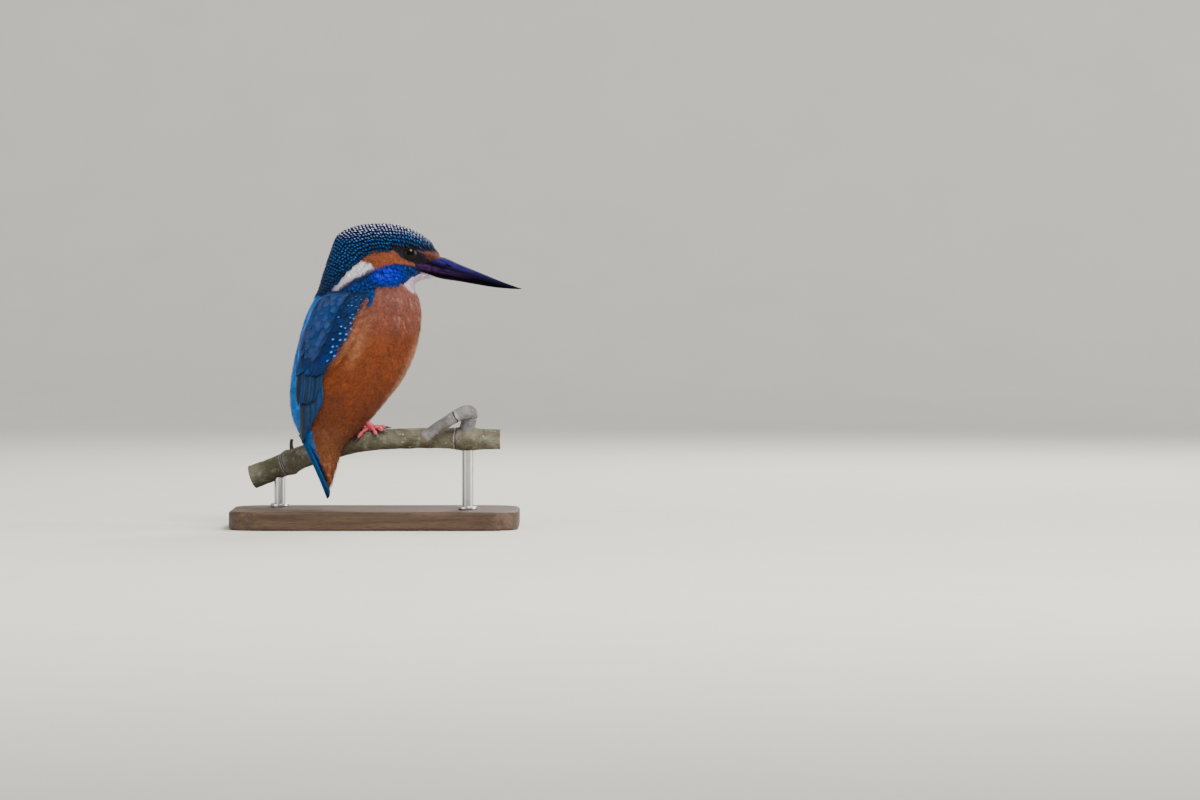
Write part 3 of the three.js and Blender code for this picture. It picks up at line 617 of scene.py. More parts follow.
# %% Moving points and storing what they carry
def corners(bm):
    return np.array([v.co for v in bm.verts], float)


def move_to(verts, places):
    for vert, place in zip(verts, places):
        vert.co = place


KINDS = {"FLOAT": "value", "FLOAT_VECTOR": "vector", "FLOAT_COLOR": "color"}


def give(mesh, name, values, kind="FLOAT"):
    """Stores a number, a vector or a colour with each point, for the material to read."""
    values = np.asarray(values, np.float32)
    mesh.attributes.new(name, kind, "POINT").data.foreach_set(KINDS[kind], values.ravel())


def give_tone(mesh, colours):
    """Stores the colour of each point, from rows of red, green and blue."""
    give(mesh, "tone", np.insert(colours, 3, 1.0, axis=-1), "FLOAT_COLOR")


# %% [markdown]
# ## The skin
# One sheet covers face, neck and body, so that no seam shows between them. It could be the solids
# themselves, but those meet in hard lines at the neck. It starts as a flat grid whose two
# directions are the two numbers of a place on the body, and is rolled up by the formula. It lies a
# little inside the solids, by the depth of the coat. Round each eye it sinks into a socket.


# %% Where the eyes sit
COAT_DEPTH = 0.55  # millimetres from the skin out to the solid's surface
EYE = {"x": 15.9, "z": 117.6, "radius": 4.2, "sunk": 3.45, "turn": 0.3}
SOCKET = {"radius": 3.4, "depth": 1.5}


def eye_place(hand):
    """The centre of an eyeball and the way it looks. A hand of -1 is the bird's right."""
    s, angle = find_on_body(EYE["x"], EYE["z"], 0.0, HEAD_END)
    surface = BIRD_Y - float(body_point(s, angle)[1])
    look = np.array([math.sin(EYE["turn"]), hand * math.cos(EYE["turn"]), 0.0])
    return np.array([EYE["x"], BIRD_Y + hand * surface, EYE["z"]]) - look * EYE["sunk"], look


def from_eye(places):
    """The distance of places from the nearer eye's line of sight, in millimetres."""
    gaps = []
    for hand in SIDES.values():
        centre, look = eye_place(hand)
        off = places - centre
        ahead = off @ look
        gaps.append(np.where(ahead > 0, np.linalg.norm(off - ahead[..., None] * look, axis=-1), 99.0))
    return np.minimum(*gaps)


print("right eye's centre and look:", *eye_place(SIDES["right"]))


# %% Skin
def make_skin():
    bm = bmesh.new()
    bmesh.ops.create_grid(bm, x_segments=230, y_segments=108, size=0.5)
    flat = corners(bm)
    places = body_point(flat[:, 0] + 0.5, flat[:, 1] * 2 * math.pi, -COAT_DEPTH)
    dip = np.clip(1 - from_eye(places) / SOCKET["radius"], 0, 1) ** 0.5 * SOCKET["depth"]
    for hand in SIDES.values():
        mine = (places[:, 1] - BIRD_Y) * hand > 0
        places -= eye_place(hand)[1] * (dip * mine)[:, None]
    move_to(bm.verts, places)
    bmesh.ops.remove_doubles(bm, verts=bm.verts, dist=0.002)
    open_ends = [e for e in bm.edges if e.is_boundary]
    bmesh.ops.holes_fill(bm, edges=open_ends, sides=0)
    painted = corners(bm)
    skin = finish_piece("skin", bm, PLUMAGE, ["head", "neck", "torso"])
    give_tone(skin.data, plumage_colour(painted))
    give(skin.data, "along", np.full(len(painted), 0.15))


make_skin()

# %% [markdown]
# ## Feathers as joined copies
# Hair would be the quick way to cover a bird, but it is gone when the model is exported. Instead
# thousands of feathers are copies of four small closed solids, bent to where they lie: a tuft of
# loose pointed barbs for the soft parts, a small rounded scale for the crown, a rounder covert for
# the forearm, and a flat vane for the long feathers. Each solid is made once with mesh operators
# and then copied by arrays, which is far faster than copying objects.


# %% A tuft of barbs
def shape_of(bm):
    """The points and the triangles of a bmesh, as arrays."""
    bmesh.ops.recalc_face_normals(bm, faces=bm.faces)
    bmesh.ops.triangulate(bm, faces=bm.faces)
    bm.verts.ensure_lookup_table()
    faces = np.array([[v.index for v in f.verts] for f in bm.faces], np.int32)
    points = corners(bm)
    bm.free()
    return points, faces


def barb_shape(cuts):
    """A thin three-sided spike: x across, y up to its tip, z out."""
    bm = bmesh.new()
    bmesh.ops.create_cone(bm, cap_ends=True, cap_tris=True, segments=3, radius1=1, radius2=0, depth=1)
    lengthways = [e for e in bm.edges if abs(e.verts[0].co.z - e.verts[1].co.z) > 0.5]
    bmesh.ops.subdivide_edges(bm, edges=lengthways, cuts=cuts)
    bmesh.ops.rotate(bm, matrix=Matrix.Rotation(-math.pi / 2, 3, "X"), verts=bm.verts)
    bmesh.ops.translate(bm, vec=(0, 0.5, 0), verts=bm.verts)
    return shape_of(bm)


def tuft_shape(barbs, cuts):
    """Barbs side by side, closer at the root and of uneven length. x and y run to 1, z is height."""
    spike, faces = barb_shape(cuts)
    v = spike[:, 1]
    wide = (1.25 / barbs) * (1 - 0.75 * v**2)
    order = np.random.default_rng(3)
    points, joined = [], []
    for i in range(barbs):
        side = 2 * i / (barbs - 1) - 1
        reach = (1 - 0.22 * side**2) * order.uniform(0.82, 1.0)
        x = side * (0.45 + 0.5 * v) + spike[:, 0] * wide
        points.append(np.stack([x, v * reach, spike[:, 2] * 0.24 * (1 - 0.6 * v)], -1))
        joined.append(faces + len(spike) * i)
    return np.concatenate(points), np.concatenate(joined)


# %% A vane and a scale
def vane_shape(across, lengthways):
    """A flat blade: x from -1 to 1 across it, y from 0 to 1 along it, z 0 or 1 through it."""
    bm = bmesh.new()
    bmesh.ops.create_grid(bm, x_segments=across, y_segments=lengthways, size=1)
    bmesh.ops.solidify(bm, geom=bm.faces[:], thickness=1)
    for vert in bm.verts:
        vert.co.y = (vert.co.y + 1) / 2
        vert.co.z = abs(vert.co.z)
    return shape_of(bm)


def scale_shape(around, rings):
    """A small rounded feather: a ball pressed flat, x from -1 to 1, y and z from 0 to 1."""
    bm = bmesh.new()
    bmesh.ops.create_uvsphere(bm, u_segments=around, v_segments=rings, radius=1)
    for vert in bm.verts:
        vert.co.y = (vert.co.y + 1) / 2
        vert.co.z = (vert.co.z + 1) / 2
    return shape_of(bm)


TUFT = tuft_shape(7, 1)
SCALE = scale_shape(10, 4)
COVERT = scale_shape(12, 6)
VANE = vane_shape(6, 14)
for name, shape in {"tuft": TUFT, "scale": SCALE, "covert": COVERT, "vane": VANE}.items():
    print("triangles in a", name, len(shape[1]))


# %% Joining the copies
def joined_copies(
    name, shape, places, tone, along, roots, material, replaces=(), barb=None, patch_size=0.0015
):
    """One mesh of all copies, each with its own small patch of the unwrap.

    places is (copies, points, 3) in millimetres, tone a colour and along a number for each point,
    roots where on the unwrap each copy's patch is, and barb what the feather's finish reads.
    """
    points, faces = shape
    copies, each = places.shape[:2]
    all_faces = (faces[None] + (np.arange(copies) * each)[:, None, None]).reshape(-1, 3)
    mesh = bpy.data.meshes.new(name)
    mesh.vertices.add(copies * each)
    mesh.vertices.foreach_set("co", (places.reshape(-1, 3) * MM).astype(np.float32).ravel())
    mesh.loops.add(len(all_faces) * 3)
    mesh.loops.foreach_set("vertex_index", all_faces.astype(np.int32).ravel())
    mesh.polygons.add(len(all_faces))
    mesh.polygons.foreach_set("loop_start", np.arange(0, len(all_faces) * 3, 3, dtype=np.int32))
    mesh.update(calc_edges=True)
    give_tone(mesh, np.clip(tone, 0, 1).reshape(-1, 3))
    give(mesh, "along", along)
    if barb is not None:
        give(mesh, "barb", barb, "FLOAT_VECTOR")
    spots = roots[:, None] + (points[None, :, :2] * [1, 2] - [0, 1]) * patch_size
    uv = mesh.uv_layers.new(name="OFBake")
    uv.data.foreach_set("uv", spots.reshape(-1, 2)[all_faces.ravel()].astype(np.float32).ravel())
    return own(name, mesh, material, replaces)


# %% [markdown]
# ## Spreading the roots
# Real feathers stand in even rows, closer on the face than on the breast. Purely random roots
# would leave bald spots and clumps. Random places are therefore tried one after another, and each
# is kept only where no kept one is nearer than the local spacing, which gives the same even but
# unruled look.


# %% Even random roots
CELL = 2.0  # the side of the boxes that neighbours are looked up in, in millimetres
CLOSEST = 0.72  # how near two roots may stand, as a share of the spacing


def spacing(place):
    """How far apart feathers stand, in millimetres."""
    x, z = place[..., 0], place[..., 2]
    head = ramp(z, 96, 104)
    face = ramp(x, 6, 20) * head
    return 1.5 + 0.35 * ramp(z, 80, 40) - 0.5 * head - 0.32 * face


def scatter(tries, wanted):
    """Roots over the body as (s, angle), where wanted(places) is true."""
    s, angle = rng.uniform(0.004, 0.985, tries), rng.uniform(-math.pi, math.pi, tries)
    place = body_point(s, angle)
    down_speed, round_speed = body_speeds(s, angle)
    room = down_speed * round_speed / spacing(place) ** 2
    fair = (rng.uniform(0, room.max(), tries) < room) & wanted(place)
    s, angle, place = s[fair], angle[fair], place[fair]
    step = spacing(place)
    cells = (place / CELL).astype(int).tolist()
    around = list(itertools.product((-1, 0, 1), repeat=3))
    taken, kept = {}, []
    for i, (x, y, z) in enumerate(cells):
        near = [k for dx, dy, dz in around for k in taken.get((x + dx, y + dy, z + dz), ())]
        if near and (np.linalg.norm(place[near] - place[i], axis=1) < CLOSEST * step[i]).any():
            continue
        taken.setdefault((x, y, z), []).append(i)
        kept.append(i)
    return s[kept], angle[kept]


# %% Laying feathers on the body
def lay(shape, s, angle, length, width, turn, lift, outline, root_depth=0.35, thick=0.22):
    """Bends copies of a shape onto the body, each from its own root, down the bird.

    turn is how far each is askew, lift how far its tip stands off the skin, and outline(v) its
    width along its length.
    """
    u, v, w = shape[0].T
    v = np.clip(v, 0, 1)  # a root can lie a rounding error below 0, which has no power of 0.8
    middle = np.clip(s + 0.4 * length / body_speeds(s, angle)[0], 0, 0.995)
    down_speed, round_speed = body_speeds(middle, angle)
    ahead = v[None] * length[:, None]
    aside = u[None] * (width / 2)[:, None] * outline(v)[None]
    c, n = np.cos(turn)[:, None], np.sin(turn)[:, None]
    ss = s[:, None] + (ahead * c - aside * n) / down_speed[:, None]
    aa = angle[:, None] + (ahead * n + aside * c) / round_speed[:, None]
    height = -COAT_DEPTH - root_depth * (1 - v[None]) + lift[:, None] * v[None] ** 0.8
    return body_point(np.clip(ss, 0, 1), aa, height + w[None] * thick)


print("spacing on breast", spacing(np.array([10.0, 0, 80])), "on face", spacing(np.array([22.0, 0, 115])))

# %% [markdown]
# ## The soft coat
# Breast, belly, cheeks and back are tufts of loose barbs. Each lies down the bird, a little
# askew, and stands off just enough to break the light. Its colour is that of the place where
# its tip shows, so the fields get feathery edges. A noise on the skin alone would look like felt.


# %% What grows where
FIRM = ("crown", "stripe", "shoulder")


def open_skin(place):
    """Where feathers grow: not on the eye or the line of the mouth, nor under the wing."""
    hidden = inside("under_wing", place, 0.5) > 0.9
    mouth = inside("gape", place, 0.3) > 0.5
    return (from_eye(place) > 3.1) & ~hidden & ~mouth


def is_firm(place):
    """Crown, cheek stripe and shoulder have small firm feathers, and the rest has loose ones."""
    share = np.maximum.reduce([inside(name, place, 0.3) for name in FIRM])
    back = (find_on_body(place[:, 0], place[:, 2])[1] < 1.15) & (place[:, 2] < 101.6)
    return (share > 0.9) & ~back


def varied(tone, vary):
    """Colours, a little lighter or darker from feather to feather."""
    return tone * rng.normal(1, vary, (len(tone), 1)) * rng.normal(1, 0.04, tone.shape)


def on_unwrap(s, angle):
    return np.stack([(angle / (2 * math.pi) + 0.5) * 0.98 + 0.01, s * 0.98 + 0.01], -1)


# %% Body tufts
def loose_outline(v):
    return 0.55 + 0.45 * np.clip(v / 0.5, 0, 1)


def coat(name, s, angle, stretch, lift=0.75, vary=0.075, raised=0.0, turned=0.0, ahead=0.0):
    """Tufts at roots, their length and width stretch times the spacing.

    raised lifts them off the skin, turned swings them all one way, and ahead takes their colour
    from further forward, each by so many millimetres or radians.
    """
    place = body_point(s, angle)
    step = spacing(place)
    length = stretch[0] * step * rng.uniform(0.85, 1.2, len(s))
    width = stretch[1] * step * rng.uniform(0.85, 1.15, len(s))
    turn = rng.normal(0, 0.09, len(s)) + turned
    sleek = np.where((np.abs(angle) < 1.1) & (place[:, 2] < 104), 0.5, 1.0)
    fluff = sleek * rng.uniform(0.55, 1.0, len(s)) * np.clip(step / 1.5, 0.45, 1.2)
    points = lay(TUFT, s, angle, length, width, turn, COAT_DEPTH + raised + lift * fluff, loose_outline)
    shown = points[:, TUFT[0][:, 1].argmax()] * 0.6 + place * 0.4 + [ahead, 0, 0]
    tone = np.repeat(varied(plumage_colour(shown), vary)[:, None], points.shape[1], 1)
    along = np.repeat(0.2 + 0.8 * TUFT[0][None, :, 1], len(s), 0)
    joined_copies(name, TUFT, points, tone, along, on_unwrap(s, angle), PLUMAGE)


soft_s, soft_angle = scatter(120000, lambda place: open_skin(place) & ~is_firm(place))
heights = body_point(soft_s, soft_angle)[:, 2]
print("loose feathers:", len(soft_s))
BELTS = {"head": (97, 200), "breast": (78, 97), "belly": (58, 78), "vent": (0, 58)}
for belt, (low, high) in BELTS.items():
    chosen = (heights >= low) & (heights < high)
    coat(f"{belt}_tufts", soft_s[chosen], soft_angle[chosen], (3.3, 1.75))

# %% [markdown]
# ## The crown
# The feathers of the crown, nape and cheek stripe are small, firm and rounded, and lie like
# scales in rows across the head. Each crown feather is nearly black with one pale azure spot, so
# the spots line up in short bars, and those that face the sky are painted paler still, a painted
# highlight. Feathers of the stripe under the ear are plain deep blue. Rows are stepped down the
# bird by the formula, because random roots would never line up.


# %% Roots in rows
CROWN_STEP = 1.62  # from feather to feather on the crown, in millimetres


def rows_on_body(step, first, last):
    """Roots in staggered rows round the bird, a step apart along the back and round each row."""
    s_all, angle_all, s, odd = [], [], first, 0
    while s < last:
        down_speed, round_speed = body_speeds(np.array([s, s]), np.array([0.5, 2.0]))
        count = int(2 * math.pi * round_speed.mean() / step)
        angle = (np.arange(count) + 0.5 * odd) / count * 2 * math.pi - math.pi
        s_all.append(np.full(count, s) + rng.normal(0, 0.03 * step, count) / down_speed[0])
        angle_all.append(angle + rng.normal(0, 0.06, count) * 2 * math.pi / count)
        s, odd = s + 0.88 * step / down_speed[0], 1 - odd
    return np.concatenate(s_all), np.concatenate(angle_all)


firm_s, firm_angle = rows_on_body(CROWN_STEP, 0.004, 0.52)
firm_places = body_point(firm_s, firm_angle)
grown = open_skin(firm_places) & is_firm(firm_places)
firm_s, firm_angle = firm_s[grown], firm_angle[grown]
print("crown, cheek and shoulder scales:", len(firm_s))


# %% Scales
def crown_spot(place):
    """How bright each crown feather's spot is: fainter just above the eye and ear."""
    edge = inside("crown", place + [0, 0, -2.4], 1.6)
    chance = rng.uniform(0.3, 1.0, len(place)) ** 0.7
    low = ramp(place[:, 2], 118, 108)
    return inside("crown", place, 0.3) * (0.2 + 0.8 * edge) * (1 - 0.5 * low) * chance


def make_scales(s, angle):
    """Scales at roots, sized by how closely the rows run there."""
    u, v, _ = SCALE[0].T
    place = body_point(s, angle)
    closer = np.clip(body_speeds(s, angle)[0] / body_speeds(s, 0.5 + 0 * angle)[0], 0.45, 1.1)
    long = 2.3 + 0.9 * (1 - inside("crown", place))
    length = long * CROWN_STEP * np.sqrt(closer) * rng.uniform(0.92, 1.08, len(s))
    width = 1.35 * CROWN_STEP * rng.uniform(0.92, 1.08, len(s))
    rise = COAT_DEPTH + 0.5 * rng.uniform(0.7, 1.0, len(s))
    turn = rng.normal(0, 0.05, len(s))
    points = lay(SCALE, s, angle, length, width, turn, rise, np.ones_like, 0.3, 0.1)
    shown = points[:, v.argmax()] * 0.1 + place * 0.9
    tone = varied(firm_colour(shown, np.tile(COLOURS["shoulder"], (len(s), 1))), 0.16)
    tone = np.repeat(tone[:, None], len(v), 1)
    barb = np.stack(np.broadcast_arrays(u[None], v[None], crown_spot(shown)[:, None]), -1)
    along = np.repeat(v[None], len(s), 0)
    roots = on_unwrap(s, angle)
    joined_copies("crown_scales", SCALE, points, tone, along, roots, CROWN, [], barb)


make_scales(firm_s, firm_angle)

# %% [markdown]
# ## Long feathers of the wing
# A folded wing is tiers of feathers, like tiles: small coverts over larger ones, and those over
# the flight feathers, whose tips step down towards the tail. One solid with grooves would do from
# far off, but close by each feather should throw its own small shadow. The long feathers are vanes
# set in the side view by root and tip, from the front of the wing to its back, and laid on the
# flank by the body's formula at their own height. The left wing is the mirror image of the right.

# %% Tiers
EDGE_BLUE = (0.001, 0.040, 0.15)
WING_TIERS = {
    "primary": {
        "count": 9, "roots": [(-24.4, 66), (-31.4, 66)], "tips": [(-24.3, 50.0), (-29.9, 36.6)],
        "widths": (3.4, 3.6), "bend": 1.2, "lift": (0.5, 0.4), "climb": 0.09, "point": 0.7,
        "tone": (0.012, 0.016, 0.028), "edge": 0.75,
    },
    "secondary": {
        "count": 9, "roots": [(-21.4, 75), (-30.0, 78)], "tips": [(-23.6, 58.6), (-31.4, 52.6)],
        "widths": (2.9, 3.3), "lift": (0.5, 1.15), "climb": 0.06, "arc": 2.2, "point": 0.9,
        "tone": (0.006, 0.010, 0.022), "edge": 0.75,
    },
    "greater covert": {
        "count": 8, "roots": [(-14.8, 83), (-26.0, 83)], "tips": [(-21.6, 66.2), (-29.8, 66.4)],
        "widths": (2.7, 3.1), "lift": (1.0, 1.7), "climb": 0.03, "arc": 1.5,
        "tone": (0.0004, 0.009, 0.050),
    },
    "tertial": {
        "count": 4, "roots": [(-23.0, 84.0), (-26.8, 83.0)], "tips": [(-27.4, 64.0), (-31.4, 67.0)],
        "widths": (2.9, 3.1), "lift": (0.2, 2.0), "arc": 1.0, "ragged": 0.7,
        "tone": (0.003, 0.020, 0.085), "edge": 0.75,
    },
}
print("long feathers in a wing:", {tier: row["count"] for tier, row in WING_TIERS.items()})


# %% Outline, place and colour of a long feather
def vane_outline(v, point=1.0):
    """Half a vane's width along its length. A smaller point has a more pointed tip."""
    body = 0.62 + 0.38 * np.sin(np.clip(v / 0.55, 0, 1) * math.pi / 2)
    tip = np.clip((v - 0.62) / 0.38, 0, 1)
    return body * np.sqrt(np.clip(1 - tip ** (2.4 * point), 0, 1)) + 0.02


def on_flank(x, z, height, hand):
    """Places on either flank, from the side view and a height over the body."""
    s, angle = find_on_body(x, z, HEAD_END, 1.0)
    places = body_point(s, angle, height)
    if hand > 0:
        places[..., 1] = 2 * BIRD_Y - places[..., 1]
    return places


def vane_tone(row, u, v):
    """A tier's own colour, a little different in each feather, with a blue-green outer edge."""
    tone = np.tile(row["tone"], (row["count"], len(v), 1)) * rng.normal(1, 0.14, (row["count"], 1, 1))
    return blend(tone, EDGE_BLUE, row.get("edge", 0.0) * np.clip((u - 0.35) / 0.5, 0, 1)[None])


# %% A tier of vanes
def part_way(ends, t):
    """Points of the side view between two ends, at shares t."""
    return np.array(ends[0]) + (np.array(ends[1]) - ends[0]) * t


def lay_tier(row, hand):
    """The places of a tier's feathers, with what their colour and barbs need.

    bend curves a feather forward, arc lets the middle ones hang lower, ragged makes their tips
    uneven, and lift and climb are heights over the body at root and tip.
    """
    u, v, w = VANE[0].T
    count = row["count"]
    step = np.arange(count)[:, None]
    t = np.linspace(0, 1, count)[:, None]
    roots, tips = part_way(row["roots"], t), part_way(row["tips"], t)
    swing = row.get("arc", 0.0) * np.sin(math.pi * t)
    uneven = rng.normal(0, 0.22, tips.shape) * [1, 1 + 3 * row.get("ragged", 0)]
    tips = tips + np.hstack([0.3 * swing, -swing]) + uneven
    wide = part_way(row["widths"], t) * rng.uniform(0.94, 1.06, (count, 1))
    line = tips - roots
    length = np.linalg.norm(line, axis=1, keepdims=True)
    normal = np.stack([-line[:, 1], line[:, 0]], -1) / length
    bend = row.get("bend", 0.0) * np.sin(math.pi * v)
    aside = u * wide / 2 * vane_outline(v, row.get("point", 1.0)) + bend
    spot = roots[:, None] + line[:, None] * v[None, :, None] + normal[:, None] * aside[..., None]
    low, high = row["lift"]
    height = low + 0.03 * (step % 3) + (high - low + row.get("climb", 0.0) * step) * v
    height = height + 0.22 * u + 0.3 * (1 - u**2) + w * 0.16
    tone = vane_tone(row, u, v)
    chance = rng.uniform(0, 1, (count, 1))
    barb = np.stack(np.broadcast_arrays(u * wide / 2, v * length, chance), -1)
    return on_flank(spot[..., 0], spot[..., 1], height, hand), tone, barb


# %% The long feathers in one piece
def wing_piece(name, hand, shape, rows, along, finish):
    """One piece from rows of a wing's feathers. The unwrap is a grid with a patch for each."""
    places, tones, barbs = (np.concatenate(part) for part in zip(*rows))
    points, faces = shape
    columns = math.ceil(math.sqrt(len(places)))
    order = np.arange(len(places))
    spots = (np.stack([order % columns, order // columns], -1) + 0.5) / columns
    along = np.repeat(along[None], len(places), 0)
    faced = (points, faces[:, ::-hand])  # mirrored on the left, so its faces are turned round
    return joined_copies(
        name, faced, places, tones, along, spots, finish, [], barbs, 0.4 / columns
    )


def make_vanes(name, hand):
    """All long feathers of a wing."""
    rows = [lay_tier(row, hand) for row in WING_TIERS.values()]
    return wing_piece(name, hand, VANE, rows, 0.5 + 0.5 * VANE[0][:, 1], VANES)


for side, hand in SIDES.items():
    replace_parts(make_vanes(f"wing_{side}_vanes", hand), f"wing_{side}")

# %% [markdown]
# ## Coverts and scapulars
# The forearm is a strip between a front and a back edge in the side view, with a height over the
# body. A pad of down fills it, so that no light shows between feathers, and the coverts stand on
# it in rows, small at the bend of the wing and larger further down. Longer scapulars hang from the
# shoulder over their upper half, some painted greyer and with paler tips, a painted sheen. Rounded
# scales are enough for both, since only their tips show, and some coverts end in a bright azure spot.


# %% Forearm
ARM = smooth(
    [  # front edge x, z, back edge x, z, height
        [-2.2, 101.6, -17.6, 101.8, 0.1],
        [-4.0, 96.4, -22.4, 98.6, 0.9],
        [-6.6, 90.6, -26.0, 92.6, 1.6],
        [-8.9, 83.6, -28.8, 86.0, 1.7],
        [-13.4, 76.0, -31.0, 78.6, 1.5],
        [-18.8, 69.0, -32.4, 71.4, 1.2],
        [-23.4, 62.2, -33.0, 64.0, 0.8],
        [-26.0, 55.0, -32.8, 56.4, 0.5],
    ]
)
ARM_LENGTH = 52  # down the strip, in millimetres


def on_arm(t, f, out, hand):
    """A place on the forearm: t down it, f from its front to its back edge, out above the pad."""
    fx, fz, bx, bz, height = np.moveaxis(ARM(t), -1, 0)
    rim = np.clip(np.minimum.reduce([f, 1 - f, t * 2 + 0.05, (1 - t) * 2]) / 0.16, 0.02, 1) ** 0.6
    return on_flank(fx + (bx - fx) * f, fz + (bz - fz) * f, height * rim + out, hand)


def wing_pad(name, hand):
    """The dark down under the coverts."""
    bm = bmesh.new()
    bmesh.ops.create_grid(bm, x_segments=18, y_segments=34, size=0.5)
    flat = corners(bm) + 0.5
    move_to(bm.verts, on_arm(flat[:, 1], flat[:, 0], -0.35, hand))
    bmesh.ops.solidify(bm, geom=bm.faces[:], thickness=0.25)
    count = len(bm.verts)
    pad = finish_piece(name, bm, PLUMAGE)
    give_tone(pad.data, np.tile((0.001, 0.014, 0.05), (count, 1)))
    give(pad.data, "along", np.full(count, 0.4))


# %% How coverts and scapulars look
def covert_look(grown, f, v, count):
    """Deep blue, brighter low in front, with azure spots that crowd along the front edge."""
    base = np.array((0.0004, 0.009, 0.048)) * rng.normal(1, 0.25, (count, 1))
    vivid = np.clip(1.2 * grown - 0.5, 0, 1) * np.clip(1 - 2.2 * f, 0, 1)
    base = blend(base, (0.0004, 0.010, 0.21), vivid)
    spotted = rng.uniform(0, 1, count) < 0.06 + 0.9 * np.clip(1.1 - 2.6 * f, 0, 1)
    chance = spotted * rng.uniform(0.25, 1.0, count) * np.clip(0.3 + 3 * grown, 0, 1)
    return np.repeat(base[:, None], len(v), 1), chance


def scapular_look(grown, f, v, count):
    """Blue feathers of the shoulder with no spots, some painted greyer and paler at the tips: a painted
    sheen.
    """
    base = np.array((0.0005, 0.017, 0.082)) * rng.normal(1, 0.22, (count, 1))
    # painted sheen: some feathers greyer, and paler towards their tips
    base = blend(base, (0.030, 0.052, 0.150), rng.uniform(0, 1, count) ** 2 * 0.8)
    tip = np.clip((v - 0.72) / 0.2, 0, 1)[None] * rng.uniform(0.0, 0.3, (count, 1))
    return blend(np.repeat(base[:, None], len(v), 1), (0.03, 0.10, 0.27), tip), np.zeros(count)


# down is where on the forearm the rows start and end, front how far back from its front edge,
# pitch the distance within a row and length that of a feather, first and last, step the distance
# of rows as a share of the length, kept how much of the last row is there, and rise a height.
WING_ROWS = {
    "coverts": {
        "look": covert_look, "down": (0.01, 0.66), "front": 0.0, "pitch": (1.7, 2.9),
        "length": (4.2, 8.8), "kept": 0.75, "rise": 0.05, "step": 0.36,
    },
    "scapulars": {
        "look": scapular_look, "down": (0.0, 0.52), "front": 0.46, "pitch": (1.45, 2.05),
        "length": (6.0, 10.5), "kept": 1.0, "rise": 0.3, "step": 0.27,
    },
}


# %% Rows on the forearm
def lay_row(row, t, grown, odd, hand):
    """One row of feathers across the forearm at t, and how long they are."""
    u, v, w = COVERT[0].T
    pitch, length = (low + (high - low) * grown for low, high in (row["pitch"], row["length"]))
    fx, fz, bx, bz, _ = ARM(t)
    edge = math.hypot(bx - fx, bz - fz)
    count = int(edge * (1 - row["front"]) * (1 - (1 - row["kept"]) * grown) / pitch)
    even = row["front"] + (np.arange(count) + 0.5 + 0.5 * odd) * pitch / edge
    f = even + rng.normal(0, 0.012, count)
    f = f[f < 1]
    count = len(f)
    size = rng.uniform(0.9, 1.1, (count, 1))
    tilt = rng.normal(0, 0.05, (count, 1))
    tt = t + v * length * size / ARM_LENGTH + rng.normal(0, 0.004, (count, 1))
    ff = f[:, None] + (u * pitch * 0.82 * size + v * length * tilt) / edge
    overlap = 0.03 * (np.arange(count)[:, None] % 3)
    out = row["rise"] + (0.35 + 0.25 * grown) * v**0.8 + overlap + w * 0.3
    places = on_arm(np.clip(tt, 0, 1), np.clip(ff, 0, 1), out, hand)
    tone, chance = row["look"](grown, f, v, count)
    barb = np.stack(np.broadcast_arrays(u[None], v[None], chance[:, None]), -1)
    return (places, tone, barb), length


def wing_rows(name, hand, row):
    """Staggered rows of small rounded feathers down the forearm."""
    first, last = row["down"]
    rows, t, odd = [], first, 0
    while t < last:
        laid_row, length = lay_row(row, t, (t - first) / (last - first), odd, hand)
        rows.append(laid_row)
        t, odd = t + length * row["step"] / ARM_LENGTH, 1 - odd
    wing_piece(name, hand, COVERT, rows, COVERT[0][:, 1], COVERTS)


for side, hand in SIDES.items():
    wing_pad(f"wing_{side}_pad", hand)
    for kind, row in WING_ROWS.items():
        wing_rows(f"wing_{side}_{kind}", hand, row)


# %% Flank plumes over the wing's front edge
def flank_plumes(name, hand):
    """Long loose flank feathers that hide the front edge of the folded wing."""
    t = np.sort(rng.uniform(0.06, 0.66, 250))
    fx, fz, _, _, height = ARM(t).T
    s, angle = find_on_body(fx + rng.normal(0.4, 0.7, len(t)), fz, HEAD_END, 1.0)
    raised = 0.9 + height * rng.uniform(0.6, 1.0, len(t))
    turned = 0.55 * hand * rng.uniform(0.3, 1.4, len(t))
    coat(name, s, -hand * angle, (3.9, 1.3), 0.6, 0.1, raised, turned, ahead=5.0)


for side, hand in SIDES.items():
    flank_plumes(f"flank_{side}_plumes", hand)

# %% [markdown]
# ## Tail
# Twelve short feathers, stacked so that the middle pair is uppermost at the back and each other
# pair lies a little further under and out. A fan cut from one sheet would look as stiff as card,
# so each is a vane of its own, bent along one line. Azure coverts of the rump run down over their
# roots.


# %% Tail feathers
TAIL_LINE = smooth([[-32.9, 39.8], [-29.9, 33.8], [-26.6, 26.6], [-23.4, 19.2], [-20.7, 12.4]])
TAIL_COUNT = 12


